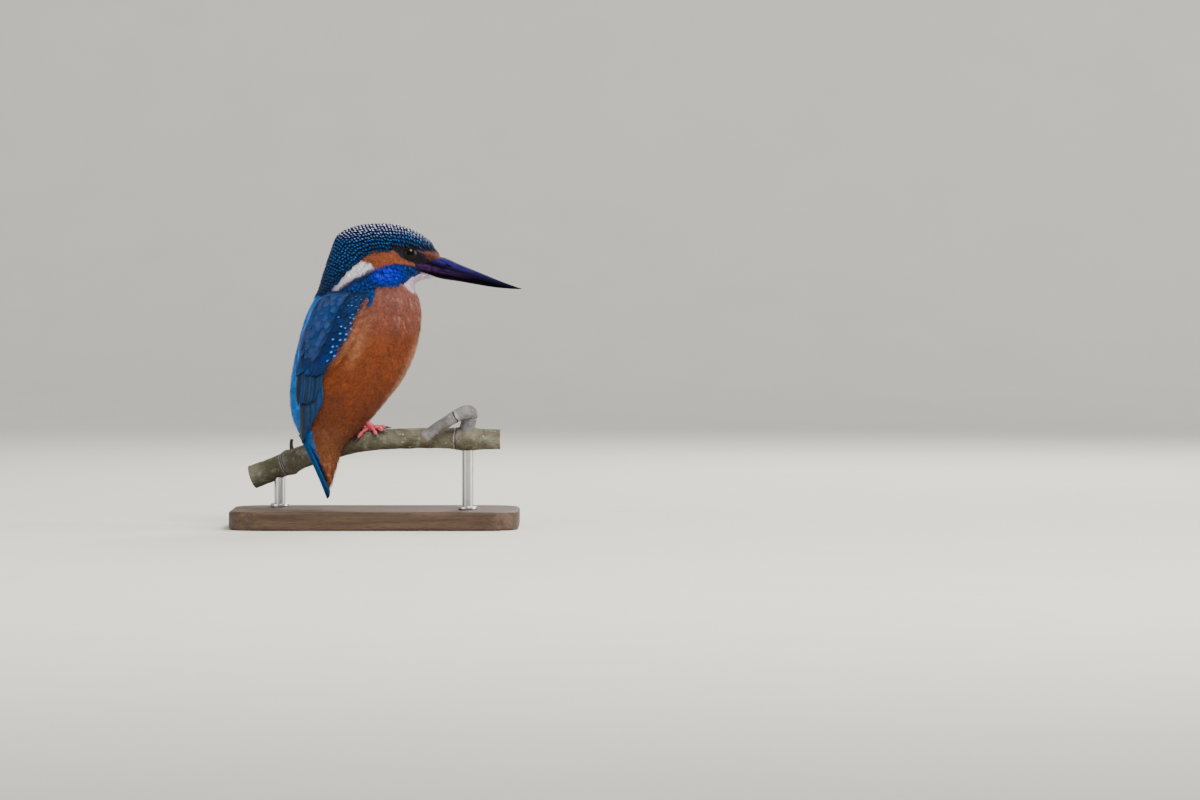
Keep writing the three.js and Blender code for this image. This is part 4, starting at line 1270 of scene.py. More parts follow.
def tail_vane(order):
    """Places, colours and barbs of one tail feather, counted outwards from the middle pair."""
    u, v, w = VANE[0].T
    out, hand = order // 2 / 5, 1 if order % 2 else -1
    t = v * (1 - 0.09 * out**2)
    x, z = TAIL_LINE(t).T
    ahead = TAIL_LINE(np.clip(t + 0.02, 0, 1)) - TAIL_LINE(np.clip(t - 0.02, 0, 1))
    ahead /= np.linalg.norm(ahead, axis=1)[:, None]
    spread = hand * (0.5 + out * (1.6 + 3.0 * t))
    end = np.clip((v - 0.8) / 0.2, 0, 1)
    half = (3.4 + 2.2 * t) / 2 * np.sqrt(np.clip(1 - end**2.2, 0, 1)) + 0.03
    deep = 1.6 * out + w * 0.4 + np.abs(u * half) * 0.1 + 0.02 * order
    places = np.stack([x - ahead[:, 1] * deep, BIRD_Y + spread + u * half, z + ahead[:, 0] * deep], -1)
    blue = np.array((0.004, 0.075, 0.25)) * rng.normal(1, 0.1)
    under = 1 - 0.6 * (w[:, None] > 0.5)
    barb = np.stack([u * half, v * 30, 0 * v + order / TAIL_COUNT], -1)
    return places, np.tile(blue, (len(v), 1)) * under, barb


def make_tail():
    places, tones, barbs = (np.array(part) for part in zip(*map(tail_vane, range(TAIL_COUNT))))
    spots = np.stack([(np.arange(TAIL_COUNT) + 0.5) / TAIL_COUNT, np.full(TAIL_COUNT, 0.5)], -1)
    along = np.repeat(0.5 + 0.5 * VANE[0][None, :, 1], TAIL_COUNT, 0)
    joined_copies(
        "tail_vanes", VANE, places, tones, along, spots, VANES, ["tail"], barbs, 0.036
    )


make_tail()

# %% [markdown]
# ## Swept pieces
# Bill, toes, claws and branch are all rings along a line. A curve object with a bevel could draw
# them, but its rings can't change their outline on the way. So a circle is made for each station,
# moved to its place, and neighbouring circles are bridged.


# %% Sweeping rings
def ring_of(bm, places):
    made = bmesh.ops.create_circle(bm, segments=len(places), radius=1)
    move_to(made["verts"], places)
    return list({e for v in made["verts"] for e in v.link_edges})


def sweep(bm, rings):
    """Bridges rings of places, each an array of the same number of rows, and caps both ends."""
    loops = [ring_of(bm, ring) for ring in rings]
    for first, second in zip(loops, loops[1:]):
        bmesh.ops.bridge_loops(bm, edges=first + second)
    for end in (loops[0], loops[-1]):
        bmesh.ops.contextual_create(bm, geom=end)


def tube_rings(points, radii, sides, flat):
    """Rings of a tube along points. flat presses it thinner along its own up direction."""
    ahead = np.gradient(points, axis=0)
    ahead /= np.linalg.norm(ahead, axis=1)[:, None]
    side = np.cross(ahead[0], (0.0, 0.35, 1.0))
    rings = []
    turn = np.linspace(0, 2 * math.pi, sides, endpoint=False)
    for place, way, radius in zip(points, ahead, radii):
        side = side - way * (side @ way)
        side /= np.linalg.norm(side)
        up = np.cross(side, way)
        rings.append(place + radius * (np.outer(np.cos(turn), side) + flat * np.outer(np.sin(turn), up)))
    return rings


# %% [markdown]
# ## Bill
# The bill is a long dagger of dark horn in two halves. Each half has a ridge, sides that bulge a
# little and a flat meeting face, and the dark line between them is the mouth. Its root spreads to
# the width of the face, so that no skin shows beside it. The horn is nearly black with a dull
# shine and a grain that runs to the tip. A violet sheen on the sides of the upper half and some
# purple along the mouth are painted highlights. The colours go by height between mouth and ridge,
# which a plain gradient along one axis could not follow down the slanting bill.


# %% Horn
def horn_finish():
    made = Finish("bill_horn")
    at = made.place()
    x, y, z = made.parts(at)
    height = (z + x * 0.235 - 117.2) / (x * -0.163 + 10.6)  # 0 along the mouth, 1 on the ridge
    lengthways = made.add("ShaderNodeCombineXYZ", None, {0: x * 0.12, 1: y * 0.9, 2: height * 4.5})
    grain = made.cloud(lengthways, 1.3, 4.0)
    streaks = grain.between(0.3, 0.68, (0.25, 1.0))
    # painted sheen: a violet reflection on the sides of the upper half, by height
    painted_sheen = height.between(0.25, 0.7) * height.between(1.0, 0.88, (0.45, 1.0))
    painted_sheen = painted_sheen * x.between(60, 34, (0.35, 1.0))
    colour = made.blend(painted_sheen * streaks, (0.0015, 0.0008, 0.003), (0.020, 0.012, 0.105))
    # painted highlight: a purple line along the mouth near the face
    mouth = height.size().between(0.3, 0.05) * x.between(46, 30)
    colour = made.blend(mouth * streaks * 0.8, colour, (0.05, 0.018, 0.075))
    dull = made.cloud(at, 0.35).between(0.55, 0.75)
    return made.surface(
        Base_Color=made.blend(dull * 0.4, colour, (0.010, 0.004, 0.012)),
        Roughness=grain.between(0.3, 0.75, (0.42, 0.58)),
        Specular_IOR_Level=0.03,
        Specular_Tint=(0.4, 0.36, 1.0, 1.0),
        Normal=made.bump(grain, 0.08, 0.5),
    )


HORN = horn_finish()
print("horn:", HORN.name, "with", len(HORN.node_tree.nodes), "nodes")

# %% Lines of the bill, as x and z from root to tip
MOUTH = smooth(
    [[17.6, 112.9], [23.0, 111.6], [29.0, 110.4], [37.0, 108.9], [46.0, 106.4], [54.5, 104.2], [63.0, 102.6]]
)
RIDGE = smooth(
    [[17.8, 113.5], [23.0, 114.3], [28.7, 116.4], [37.0, 113.1], [46.0, 109.4], [54.5, 105.9], [63.0, 102.75]]
)
KEEL = smooth(
    [[17.8, 112.1], [22.4, 109.0], [28.2, 107.1], [36.0, 105.9], [44.0, 104.5], [51.5, 103.3], [58.2, 102.7]]
)
BILL_WIDTH = smooth([[3.6], [4.2], [4.35], [3.5], [2.6], [1.6], [0.22]])  # half of it


def face_width(x, z):
    """Half the width of the face at places of the side view, for the bill's root to match."""
    end_of_face = 26.1 + (z - 107.2) * 0.2553
    s, angle = find_on_body(np.minimum(x, end_of_face), z, 0.0, HEAD_END)
    return np.abs(body_point(s, angle)[:, 1] - BIRD_Y)


# %% A half of the bill
def bill_ring(t, edge, way, slim):
    """The outline of one half at a share of its length: over its ridge and back under it."""
    rise = np.concatenate([np.linspace(0, 1, 9), np.linspace(1, 0, 9)[1:]])
    wide = np.sqrt(np.clip(1 - rise**1.7, 0, 1)) * (1 - 0.12 * np.sin(rise * math.pi))
    hand = np.sign(np.arange(len(rise)) - 8)
    (x, z), (ex, ez) = MOUTH(t), edge(t)
    half = float(BILL_WIDTH(t)[0]) * slim
    shut = z + way * 0.06
    px, pz = x + (ex - x) * rise, shut + (ez - shut) * rise
    flank = face_width(px, pz) + 0.2 * np.sqrt(1 - rise)
    flank = np.maximum(wide * half, flank * np.clip((1 - rise) * 12, 0, 1) ** 0.5)
    near = ramp(x, 32, 28.2)
    reach = wide * half + (flank - wide * half) * near * near * (3 - 2 * near)
    over = np.stack([px, BIRD_Y + hand * reach, pz], -1)
    vault = np.array([0.05, 0.2, 0.25, 0.2, 0.05]) * (1.0 if way > 0 else 0.5)
    under = np.stack([np.full(5, x), BIRD_Y + half * np.linspace(0.8, -0.8, 5), shut + vault], -1)
    return np.concatenate([over, under])


def bill_half(name, edge, way, slim):
    bm = bmesh.new()
    sweep(bm, [bill_ring(t, edge, way, slim) for t in np.linspace(0, 1, 40)])
    finish_piece(name, bm, HORN, [name.replace("_horn", "")], sharp=42)


bill_half("bill_upper_horn", RIDGE, 1, 1.0)
bill_half("bill_lower_horn", KEEL, -1, 0.93)


# %% Nostrils
def slit_finish():
    made = Finish("nostril_slit")
    colour = made.blend(made.cloud(made.place(), 2.0), (0.001, 0.001, 0.002), (0.006, 0.004, 0.006))
    return made.surface(Base_Color=colour, Roughness=0.8, Specular_IOR_Level=0.0)


SLIT = slit_finish()


def nostril(name, hand):
    """A dark slit near the face, set in the side of the upper half and slanting down with it."""
    bm = bmesh.new()
    bmesh.ops.create_uvsphere(bm, u_segments=16, v_segments=8, radius=1)
    bmesh.ops.scale(bm, vec=(1.5, 0.24, 0.2), verts=bm.verts)
    bmesh.ops.rotate(bm, matrix=Matrix.Rotation(math.radians(26), 3, "Y"), verts=bm.verts)
    bmesh.ops.translate(bm, vec=(31.6, BIRD_Y + hand * 3.35, 112.9), verts=bm.verts)
    finish_piece(name, bm, SLIT)


for side, hand in SIDES.items():
    nostril(f"nostril_{side}", hand)

# %% [markdown]
# ## Eyes
# A bird's eye is a big ball of which little shows, dark brown round a black pupil under a clear,
# very shiny cornea. A glass eye for a museum bird is painted at the back, but here the iris is
# coloured on the ball itself by the angle from its line of sight, which looks the same from
# outside and needs no second ball. Bare lids hold it: a ring of dark skin with small pleats.


# %% Eyeballs
def eye_finish(side, hand):
    centre, look = eye_place(hand)
    made = Finish(f"eye_{side}_glass")
    middle = made.add("ShaderNodeCombineXYZ", None, {i: float(c) for i, c in enumerate(centre)})
    off = made.place() - middle
    ahead = made.add("ShaderNodeVectorMath", {"operation": "DOT_PRODUCT"}, {0: off, 1: tuple(look)}, out=1)
    pupil = (ahead * (1 / EYE["radius"])).between(0.86, 0.90)
    brown = made.blend(made.cloud(made.place(), 2.4), (0.004, 0.002, 0.0015), (0.010, 0.005, 0.003))
    colour = made.blend(pupil, brown, (0.001, 0.001, 0.001))
    return made.surface(Base_Color=colour, Roughness=0.05, Specular_IOR_Level=0.13)


def set_in_socket(bm, hand):
    """Turns what was made along +Z to an eye's line of sight, and moves it to the eye's centre."""
    centre, look = eye_place(hand)
    turn = Vector((0, 0, 1)).rotation_difference(Vector(look)).to_matrix()
    bmesh.ops.rotate(bm, matrix=turn, verts=bm.verts)
    bmesh.ops.translate(bm, vec=Vector(centre), verts=bm.verts)


def eyeball(side, hand):
    bm = bmesh.new()
    bmesh.ops.create_uvsphere(bm, u_segments=64, v_segments=40, radius=EYE["radius"])
    set_in_socket(bm, hand)
    finish_piece(f"eyeball_{side}", bm, eye_finish(side, hand), [f"eye_{side}"])


for side, hand in SIDES.items():
    eyeball(side, hand)


# %% Eyelids
LID_RADIUS = 2.9


def lid_finish():
    made = Finish("lid_skin")
    fine = made.cloud(made.place(), 3.5, 4.0)
    colour = made.blend(fine.between(0.3, 0.7), (0.002, 0.002, 0.003), (0.008, 0.007, 0.010))
    relief = made.bump(fine, 0.1, 0.8)
    return made.surface(Base_Color=colour, Roughness=0.6, Specular_IOR_Level=0.1, Normal=relief)


LID = lid_finish()


def eyelid(name, hand):
    """A bead of skin spun round the eye's line of sight, with small pleats."""
    bm = bmesh.new()
    bead = bmesh.ops.create_circle(bm, segments=14, radius=0.21)
    bmesh.ops.rotate(bm, matrix=Matrix.Rotation(math.pi / 2, 3, "X"), verts=bead["verts"])
    bmesh.ops.translate(bm, vec=(LID_RADIUS, 0, 0), verts=bead["verts"])
    around = {"cent": (0, 0, 0), "axis": (0, 0, 1), "angle": 2 * math.pi, "steps": 72}
    bmesh.ops.spin(bm, geom=bm.edges[:] + bm.verts[:], use_merge=True, **around)
    ring = corners(bm)
    turn = np.arctan2(ring[:, 1], ring[:, 0])
    move_to(bm.verts, ring * (1 + 0.012 * np.sin(turn * 26))[:, None])
    height = math.sqrt(EYE["radius"] ** 2 - LID_RADIUS**2) + 0.1
    bmesh.ops.translate(bm, vec=(0, 0, height), verts=bm.verts)
    set_in_socket(bm, hand)
    finish_piece(name, bm, LID)


for side, hand in SIDES.items():
    eyelid(f"eyelid_{side}", hand)

# %% [markdown]
# ## The branch
# The perch is a piece of living branch as thick as a finger, cut at both ends, with old ring
# scars, a swollen node where a side shoot leaves it and a dead spur. A plain tube with a painted
# bark would show a smooth edge against the light. So a grid is rolled round the curved middle
# line, and its points are moved in and out by noise for ridges and dents.


# %% Middle lines
PERCH = smooth(
    [  # middle x, y, z, radius
        [-53.8, 21.2, 20.9, 5.4],
        [-46.9, 19.6, 23.5, 5.2],
        [-40.5, 17.6, 26.2, 5.2],
        [-37.5, 16.6, 27.4, 5.9],
        [-34.5, 15.4, 28.7, 5.2],
        [-27.5, 12.6, 31.4, 5.0],
        [-19.5, 8.4, 33.7, 4.9],
        [-10.8, 2.2, 35.9, 4.7],
        [-3.5, -2.2, 37.2, 4.6],
        [4.0, -5.2, 38.0, 4.6],
        [12.0, -7.4, 38.4, 4.6],
        [22.0, -9.3, 38.7, 4.6],
        [32.0, -10.6, 38.6, 4.7],
        [37.0, -11.1, 38.5, 5.3],
        [41.0, -11.4, 38.4, 5.3],
        [46.0, -11.7, 38.3, 4.7],
        [54.0, -12.0, 38.2, 4.5],
    ]
)
SHOOT = smooth(
    [
        [39.2, -11.4, 39.0, 3.9],
        [40.2, -12.4, 45.0, 3.5],
        [41.2, -14.4, 49.4, 3.3],
        [38.4, -17.4, 49.8, 3.1],
        [33.6, -19.0, 47.4, 2.8],
        [27.6, -20.4, 43.6, 2.7],
        [21.8, -21.4, 39.4, 2.7],
    ]
)
SPUR = smooth([[-36.4, 16.2, 31.4, 1.5], [-37.0, 16.0, 35.2, 1.0], [-36.6, 15.7, 37.4, 0.9]])
print("perch from", PERCH(0.0)[:3], "to", PERCH(1.0)[:3])


# %% Places on a stem
def stem_frame(stem, share):
    """Middle, way along, way to the far side, way up and radius at shares of a stem's length."""
    row = stem(share)
    ahead = stem(share + 0.004)[..., :3] - stem(share - 0.004)[..., :3]
    ahead /= np.linalg.norm(ahead, axis=-1, keepdims=True)
    across = np.cross((0.0, 0.0, 1.0), ahead)
    across /= np.linalg.norm(across, axis=-1, keepdims=True)
    return row[..., :3], ahead, across, np.cross(ahead, across), row[..., 3:4]


def on_stem(stem, share, turn, out=0.0):
    """Places on a stem, or out from it. A turn of 0 is its top and a positive one its far side."""
    middle, _, across, top, radius = stem_frame(stem, share)
    turn, out = np.asarray(turn)[..., None], np.asarray(out)[..., None]
    return middle + (radius + out) * (top * np.cos(turn) + across * np.sin(turn))


print("perch at the feet:", on_stem(PERCH, 0.5, 0.0).round(1))


# %% A rolled grid
BARK_DEPTH = 0.22  # the bark's middle level under the solid's surface, in millimetres


def bark_places(stem, length, rough, share, turn):
    """Places on the bark: the stem's own, moved by ridges along it and by wider dents."""
    along = share * length
    ridges = wave(np.stack([along / 5, 3 * np.cos(turn), 3 * np.sin(turn)], -1), 1.0, 2.0)
    dents = wave(np.stack([along / 3.2, np.cos(turn), np.sin(turn)], -1), 1.0, 7.0)
    return on_stem(stem, share, turn, rough * (0.10 * ridges + 0.16 * dents) - BARK_DEPTH)


def rolled_bark(stem, length, steps, around, rough):
    """A grid rolled into a closed tube, with flat ends."""
    bm = bmesh.new()
    bmesh.ops.create_grid(bm, x_segments=steps, y_segments=around, size=0.5)
    flat = corners(bm)
    places = bark_places(stem, length, rough, flat[:, 0] + 0.5, flat[:, 1] * 2 * math.pi)
    move_to(bm.verts, places)
    bmesh.ops.remove_doubles(bm, verts=bm.verts, dist=0.002)
    bmesh.ops.holes_fill(bm, edges=[e for e in bm.edges if e.is_boundary], sides=0)
    return bm


# %% [markdown]
# ## Bark
# The bark is smooth and olive grey, with pale raised pores, crusts of lichen and short cracks
# that run along it. Noise on Object coordinates would run straight on through the bends, so the
# cracks, pores and scars read a field that each point carries: how far round and how far along.


# %% Bark finish
def ring_scar(made, colour, height, along, place):
    """A pale swollen ring with a dark crack behind it, where a bud's scales once sat."""
    ring = 1 - (along - place).size().between(0.15, 0.75)
    colour = made.blend(ring * 0.8, colour, (0.36, 0.31, 0.34))
    edge = 1 - (along - place - 0.9).size().between(0.1, 0.5)
    colour = made.blend(edge * 0.85, colour, (0.02, 0.015, 0.01))
    return colour, height + ring * 1.2 - edge * 1.5


def bark_finish(name, dark, light, scars, lichen):
    made = Finish(name)
    field = made.attribute("bark", "Vector")
    at = made.place()
    cracks = made.cloud(made.scaled(field, (1.6, 0.35, 1.0)), 1.1, 6.0, 0.65)
    patches = made.cloud(at, 0.11, 3.0, 0.6)
    dots = {"Vector": made.scaled(field, (0.55, 0.9, 1.0)), "Scale": 0.62, "Randomness": 1.0}
    pore = 1 - made.add("ShaderNodeTexVoronoi", {"feature": "F1"}, dots).between(0.09, 0.21)
    crust = made.cloud(at, 0.3, 4.0).between(0.52, 0.70)
    colour = made.blend(patches.between(0.35, 0.65), dark, light)
    colour = made.blend(crust * lichen, colour, (0.30, 0.29, 0.25))
    colour = made.blend((1 - cracks.between(0.30, 0.46)) * 0.75, colour, (0.030, 0.024, 0.014))
    colour = made.blend(pore * 0.8, colour, (0.36, 0.33, 0.25))
    height = cracks.between(0.25, 0.6) + pore * 0.8 + made.cloud(at, 2.2, 4.0) * 0.5
    along = made.parts(field)[1] + made.cloud(at, 0.35, 2.0) * 2.4
    for place in scars:
        colour, height = ring_scar(made, colour, height, along, place)
    return made.surface(
        Base_Color=colour,
        Roughness=cracks.between(0.2, 0.8, (0.92, 0.68)),
        Specular_IOR_Level=0.3,
        Normal=made.bump(height, 0.28, 0.9),
    )


OLD_SCARS, YOUNG_SCARS = (17.5, 19.5, 96.0), (12.0, 26.0)  # millimetres along the stem
LIVING_BARK = bark_finish("living_bark", (0.085, 0.075, 0.040), (0.17, 0.155, 0.105), OLD_SCARS, 0.4)
YOUNG_BARK = bark_finish("young_bark", (0.095, 0.090, 0.080), (0.20, 0.19, 0.20), YOUNG_SCARS, 0.2)
DEAD_BARK = bark_finish("dead_bark", (0.020, 0.016, 0.014), (0.05, 0.042, 0.036), (), 0.1)
print("barks:", LIVING_BARK.name, YOUNG_BARK.name, DEAD_BARK.name)


# %% Stems
def make_stem(name, stem, length, steps, around, rough, bark, replaces=()):
    bm = rolled_bark(stem, length, steps, around, rough)
    places = corners(bm)
    shares = np.linspace(0, 1, 200)
    line = stem(shares)[:, :3]
    nearest = shares[[np.argmin(((line - place) ** 2).sum(1)) for place in places]]
    middle, _, across, top, radius = stem_frame(stem, nearest)
    off = places - middle
    turn = np.arctan2((off * across).sum(1), (off * top).sum(1))
    made = finish_piece(name, bm, bark, replaces, sharp=60)
    field = np.stack([turn * radius[:, 0], nearest * length, 0 * turn], -1)
    give(made.data, "bark", field, "FLOAT_VECTOR")


make_stem("branch", PERCH, 122, 260, 56, 1.0, LIVING_BARK, ["perch"])
make_stem("side_shoot", SHOOT, 40, 90, 36, 0.6, YOUNG_BARK)
make_stem("dead_spur", SPUR, 7, 24, 18, 0.6, DEAD_BARK)

# %% [markdown]
# ## Sawn ends
# A fresh cut through a branch shows pale wood in rings round its pith, with a darker rim under the
# bark. The stem could be left with flat caps, but those are single faces that shade badly. A disc
# inset in rings and crowned a little catches the light as a sawn and sanded face does.


# %% Cut wood
def cut_finish():
    made = Finish("cut_wood")
    far = made.parts(made.attribute("disc", "Vector"))[0]
    wobble = made.cloud(made.place(), 0.5, 2.0) * 0.6
    rings = ((far + wobble) * 9.0).wave()
    colour = made.blend(rings.between(-0.6, 0.9), (0.36, 0.25, 0.13), (0.52, 0.40, 0.24))
    colour = made.blend(far.between(4.0, 4.5) * 0.8, colour, (0.10, 0.075, 0.04))
    return made.surface(Base_Color=colour, Roughness=0.75, Normal=made.bump(rings, 0.05, 0.4))


CUT = cut_finish()


def cut_end(name, stem, share, way):
    """A disc just inside the bark at a stem's end, slightly crowned."""
    middle, ahead, across, top, radius = stem_frame(stem, np.array(float(share)))
    bm = bmesh.new()
    bmesh.ops.create_circle(bm, segments=48, radius=1, cap_ends=True)
    for _ in range(5):
        inmost = max(bm.faces, key=lambda f: len(f.verts))
        bmesh.ops.inset_region(bm, faces=[inmost], thickness=0.17)
    flat = corners(bm)
    across_disc = np.outer(flat[:, 0], across) + np.outer(flat[:, 1], top)
    crown = 0.12 * (1 - np.linalg.norm(flat[:, :2], axis=1) ** 2) + 0.04
    move_to(bm.verts, middle + (float(radius[0]) - 0.5) * across_disc + np.outer(crown * way, ahead))
    bmesh.ops.solidify(bm, geom=bm.faces[:], thickness=0.3)
    far = np.linalg.norm(corners(bm) - middle, axis=1)
    made = finish_piece(name, bm, CUT, sharp=40)
    give(made.data, "disc", np.stack([far, 0 * far, 0 * far], -1), "FLOAT_VECTOR")


cut_end("cut_left", PERCH, 0, -1)
cut_end("cut_right", PERCH, 1, 1)
cut_end("cut_shoot", SHOOT, 1, 1)

# %% [markdown]
# ## Feet
# Kingfishers have very short legs and small, soft, coral-red feet. Three toes point forwards, the
# outer two joined for most of their length, and one back. Each grips round the branch, and ends
# in a curved dark claw. The skin is cross-folded into small scutes above and padded below. Toes
# could be posed with bones, but a path on the branch's own surface makes them grip it exactly.


# %% Foot skin and claw horn
def foot_finish():
    made = Finish("coral_foot_skin")
    scutes = (made.parts(made.attribute("bark", "Vector"))[1] * 7.5).wave().size()
    fine = made.cloud(made.place(), 4.0, 4.0)
    colour = made.blend(fine.between(0.3, 0.7), (0.44, 0.020, 0.046), (0.74, 0.14, 0.19))
    colour = made.blend((1 - scutes.between(0.05, 0.35)) * 0.65, colour, (0.20, 0.022, 0.022))
    return made.surface(
        Base_Color=colour,
        Roughness=fine.between(0.2, 0.8, (0.26, 0.42)),
        Subsurface_Weight=0.12,
        Subsurface_Scale=0.001,
        Normal=made.bump(scutes + fine * 0.4, 0.12, 0.8),
    )


def claw_finish():
    made = Finish("claw_horn")
    grain = made.cloud(made.place((0.6, 0.6, 2.0)), 1.8, 3.0)
    colour = made.blend(grain.between(0.3, 0.7), (0.012, 0.010, 0.012), (0.055, 0.045, 0.040))
    relief = made.bump(grain, 0.04, 0.5)
    return made.surface(Base_Color=colour, Roughness=0.3, Coat_Weight=0.3, Normal=relief)


FOOT_SKIN = foot_finish()
CLAW = claw_finish()
print("foot finishes:", FOOT_SKIN.name, CLAW.name)

# %% Paths of the toes
TOES = [  # how far each goes along the branch and round it, in millimetres and radians
    {"along": 8.2, "round": 0.45, "radius": 1.05},
    {"along": 7.4, "round": 0.95, "radius": 1.05},
    {"along": 4.4, "round": 1.35, "radius": 0.9},
    {"along": -4.4, "round": 1.5, "radius": 1.05},
]
FEET = {
    "right": {"x": -1.0, "side": -1, "hip": (-6.5, -5.6, 49.5)},
    "left": {"x": -9.0, "side": 1, "hip": (-12, 5.6, 47.5)},
}
STRETCH = 1.12  # of every toe, claw and all
SKIN_END = 0.76  # the share of a toe's path that is skin
CLAW_START = 0.68  # where the claw begins, inside the skin
GRIP = np.linspace(0, 1, 400)
GRIP_X = PERCH(GRIP)[:, 0]


def share_at(x):
    """The share of the perch's length at an x."""
    return float(np.interp(x, GRIP_X, GRIP))


def toe_line(toe, foot, t):
    """A toe's middle line on the branch, and its radius along it."""
    start = share_at(foot["x"])
    per_mm = (share_at(foot["x"] + 5) - start) / 5
    radius = toe["radius"] * (1 - 0.25 * t)
    share = start + per_mm * toe["along"] * t * STRETCH
    turn = foot["side"] * toe["round"] * t * STRETCH
    return on_stem(PERCH, share, turn, 0.18 + radius * 0.92), radius


# %% Toes, claws and shanks
def foot_tube(name, line, radii, flat, replaces=()):
    """A tube of foot skin. Each point carries how far along the line it is, for the scutes."""
    bm = bmesh.new()
    sweep(bm, tube_rings(line, radii, 18, flat))
    gaps = ((corners(bm)[:, None] - line[None]) ** 2).sum(-1)
    made = finish_piece(name, bm, FOOT_SKIN, replaces)
    run = np.concatenate([[0], np.cumsum(np.linalg.norm(np.diff(line, axis=0), axis=1))])
    along = run[gaps.argmin(1)]
    give(made.data, "bark", np.stack([0 * along, along, 0 * along], -1), "FLOAT_VECTOR")


def make_toe(name, toe, foot, replaces):
    t = np.linspace(0, SKIN_END, 44)
    line, radius = toe_line(toe, foot, t)
    joints = 1 + 0.16 * np.cos(t / SKIN_END * math.pi * 5) * np.clip(1.4 - t, 0, 1)
    scutes = 1 + 0.025 * np.abs(np.sin(t * 60))
    end = np.sqrt(np.clip(1 - (np.clip(t - CLAW_START, 0, 1) / 0.085) ** 2, 0.12, 1))
    foot_tube(name, line, radius * joints * scutes * end, 0.9, replaces)


def make_claw(name, toe, foot):
    line, radius = toe_line(toe, foot, np.linspace(CLAW_START, 1.0, 22))
    shrink = np.linspace(1, 0, 22)
    bm = bmesh.new()
    sweep(bm, tube_rings(line, 0.05 + radius * 0.62 * shrink**0.8, 14, 1.15))
    finish_piece(name, bm, CLAW)


def make_shank(name, foot):
    """The short bare leg, from the pad of the foot up into the belly feathers."""
    pad = on_stem(PERCH, share_at(foot["x"]), foot["side"] * 0.12, 1.2)
    hip = np.array(foot["hip"]) + [0, BIRD_Y, 0]
    t = np.linspace(0, 1, 26)
    radii = 1.45 - 0.2 * np.sin(t * math.pi) + 0.45 * (1 - t) ** 3
    foot_tube(name, pad + (hip - pad) * t[:, None], radii, 0.95)


for side, foot in FEET.items():
    for i, toe in enumerate(TOES):
        make_toe(f"toe_{side}_{i + 1}", toe, foot, [f"leg_{side}"] if i == 0 else [])
        make_claw(f"claw_{side}_{i + 1}", toe, foot)
    make_shank(f"shank_{side}", foot)

# %% [markdown]
# ## The stand
# A plain board with rounded corners and two satin steel rods take the place of the tree. The board
# could be a scaled cube with a Bevel modifier, but its upright corners are far rounder than its
# edges, so each gets a bevel of its own. It is dark oiled wood whose grain runs its length, and
# the steel is brushed lengthways.


# %% Wood and steel
def wood_finish():
    made = Finish("oiled_wood")
    grain = made.cloud(made.place((0.02, 0.42, 0.42)), 1.0, 6.0, 0.6, 0.5)
    pores = made.cloud(made.place((0.25, 3.0, 3.0)), 1.0, 3.0)
    shades = [(0.25, (0.030, 0.017, 0.010)), (0.5, (0.075, 0.042, 0.024)), (0.75, (0.12, 0.072, 0.042))]
    colour = made.ramp(grain, shades)
    return made.surface(
        Base_Color=made.blend((1 - pores.between(0.35, 0.5)) * 0.5, colour, (0.02, 0.012, 0.008)),
        Roughness=pores.between(0.3, 0.7, (0.62, 0.5)),
        Specular_IOR_Level=0.3,
        Normal=made.bump(pores + grain, 0.06, 0.5),
    )


def steel_finish():
    made = Finish("satin_steel")
    brushed = made.cloud(made.place((3.0, 3.0, 0.15)), 1.5, 3.0)
    return made.surface(
        Base_Color=made.blend(brushed, (0.42, 0.41, 0.39), (0.60, 0.59, 0.56)),
        Metallic=1.0,
        Roughness=brushed.between(0.3, 0.7, (0.26, 0.4)),
        Normal=made.bump(brushed, 0.02, 0.4),
    )


WOOD = wood_finish()
STEEL = steel_finish()
print("stand finishes:", WOOD.name, STEEL.name)


# %% Board
def box_in_mm(node):
    """The lowest and the highest corner of a solid, in millimetres."""
    return (np.array(corner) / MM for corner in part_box(node))


def rounded(bm, edges, radius, segments):
    bmesh.ops.bevel(
        bm, geom=edges, offset=radius, segments=segments, affect="EDGES", profile=0.5, material=-1
    )


def make_board():
    low, high = box_in_mm("stand_base")
    bm = bmesh.new()
    bmesh.ops.create_cube(bm, size=1)
    bmesh.ops.scale(bm, vec=high - low, verts=bm.verts)
    bmesh.ops.translate(bm, vec=(low + high) / 2, verts=bm.verts)
    rounded(bm, [e for e in bm.edges if abs(e.verts[0].co.z - e.verts[1].co.z) > 1], 16, 16)
    level = [e for e in bm.edges if abs(e.verts[0].co.z - e.verts[1].co.z) < 0.01]
    rims = [e for e in level if len({round(f.normal.z, 2) for f in e.link_faces}) == 2]
    rounded(bm, rims, 1.2, 4)
    finish_piece("board", bm, WOOD, ["stand_base"], sharp=35)


make_board()

# %% Rods with collars
ROD = {"radius": 2.4, "into_board": 0.3}
COLLAR = {"bottom": 4.2, "top": 4.0, "height": 1.4, "middle": 0.55, "bevel": 0.3}


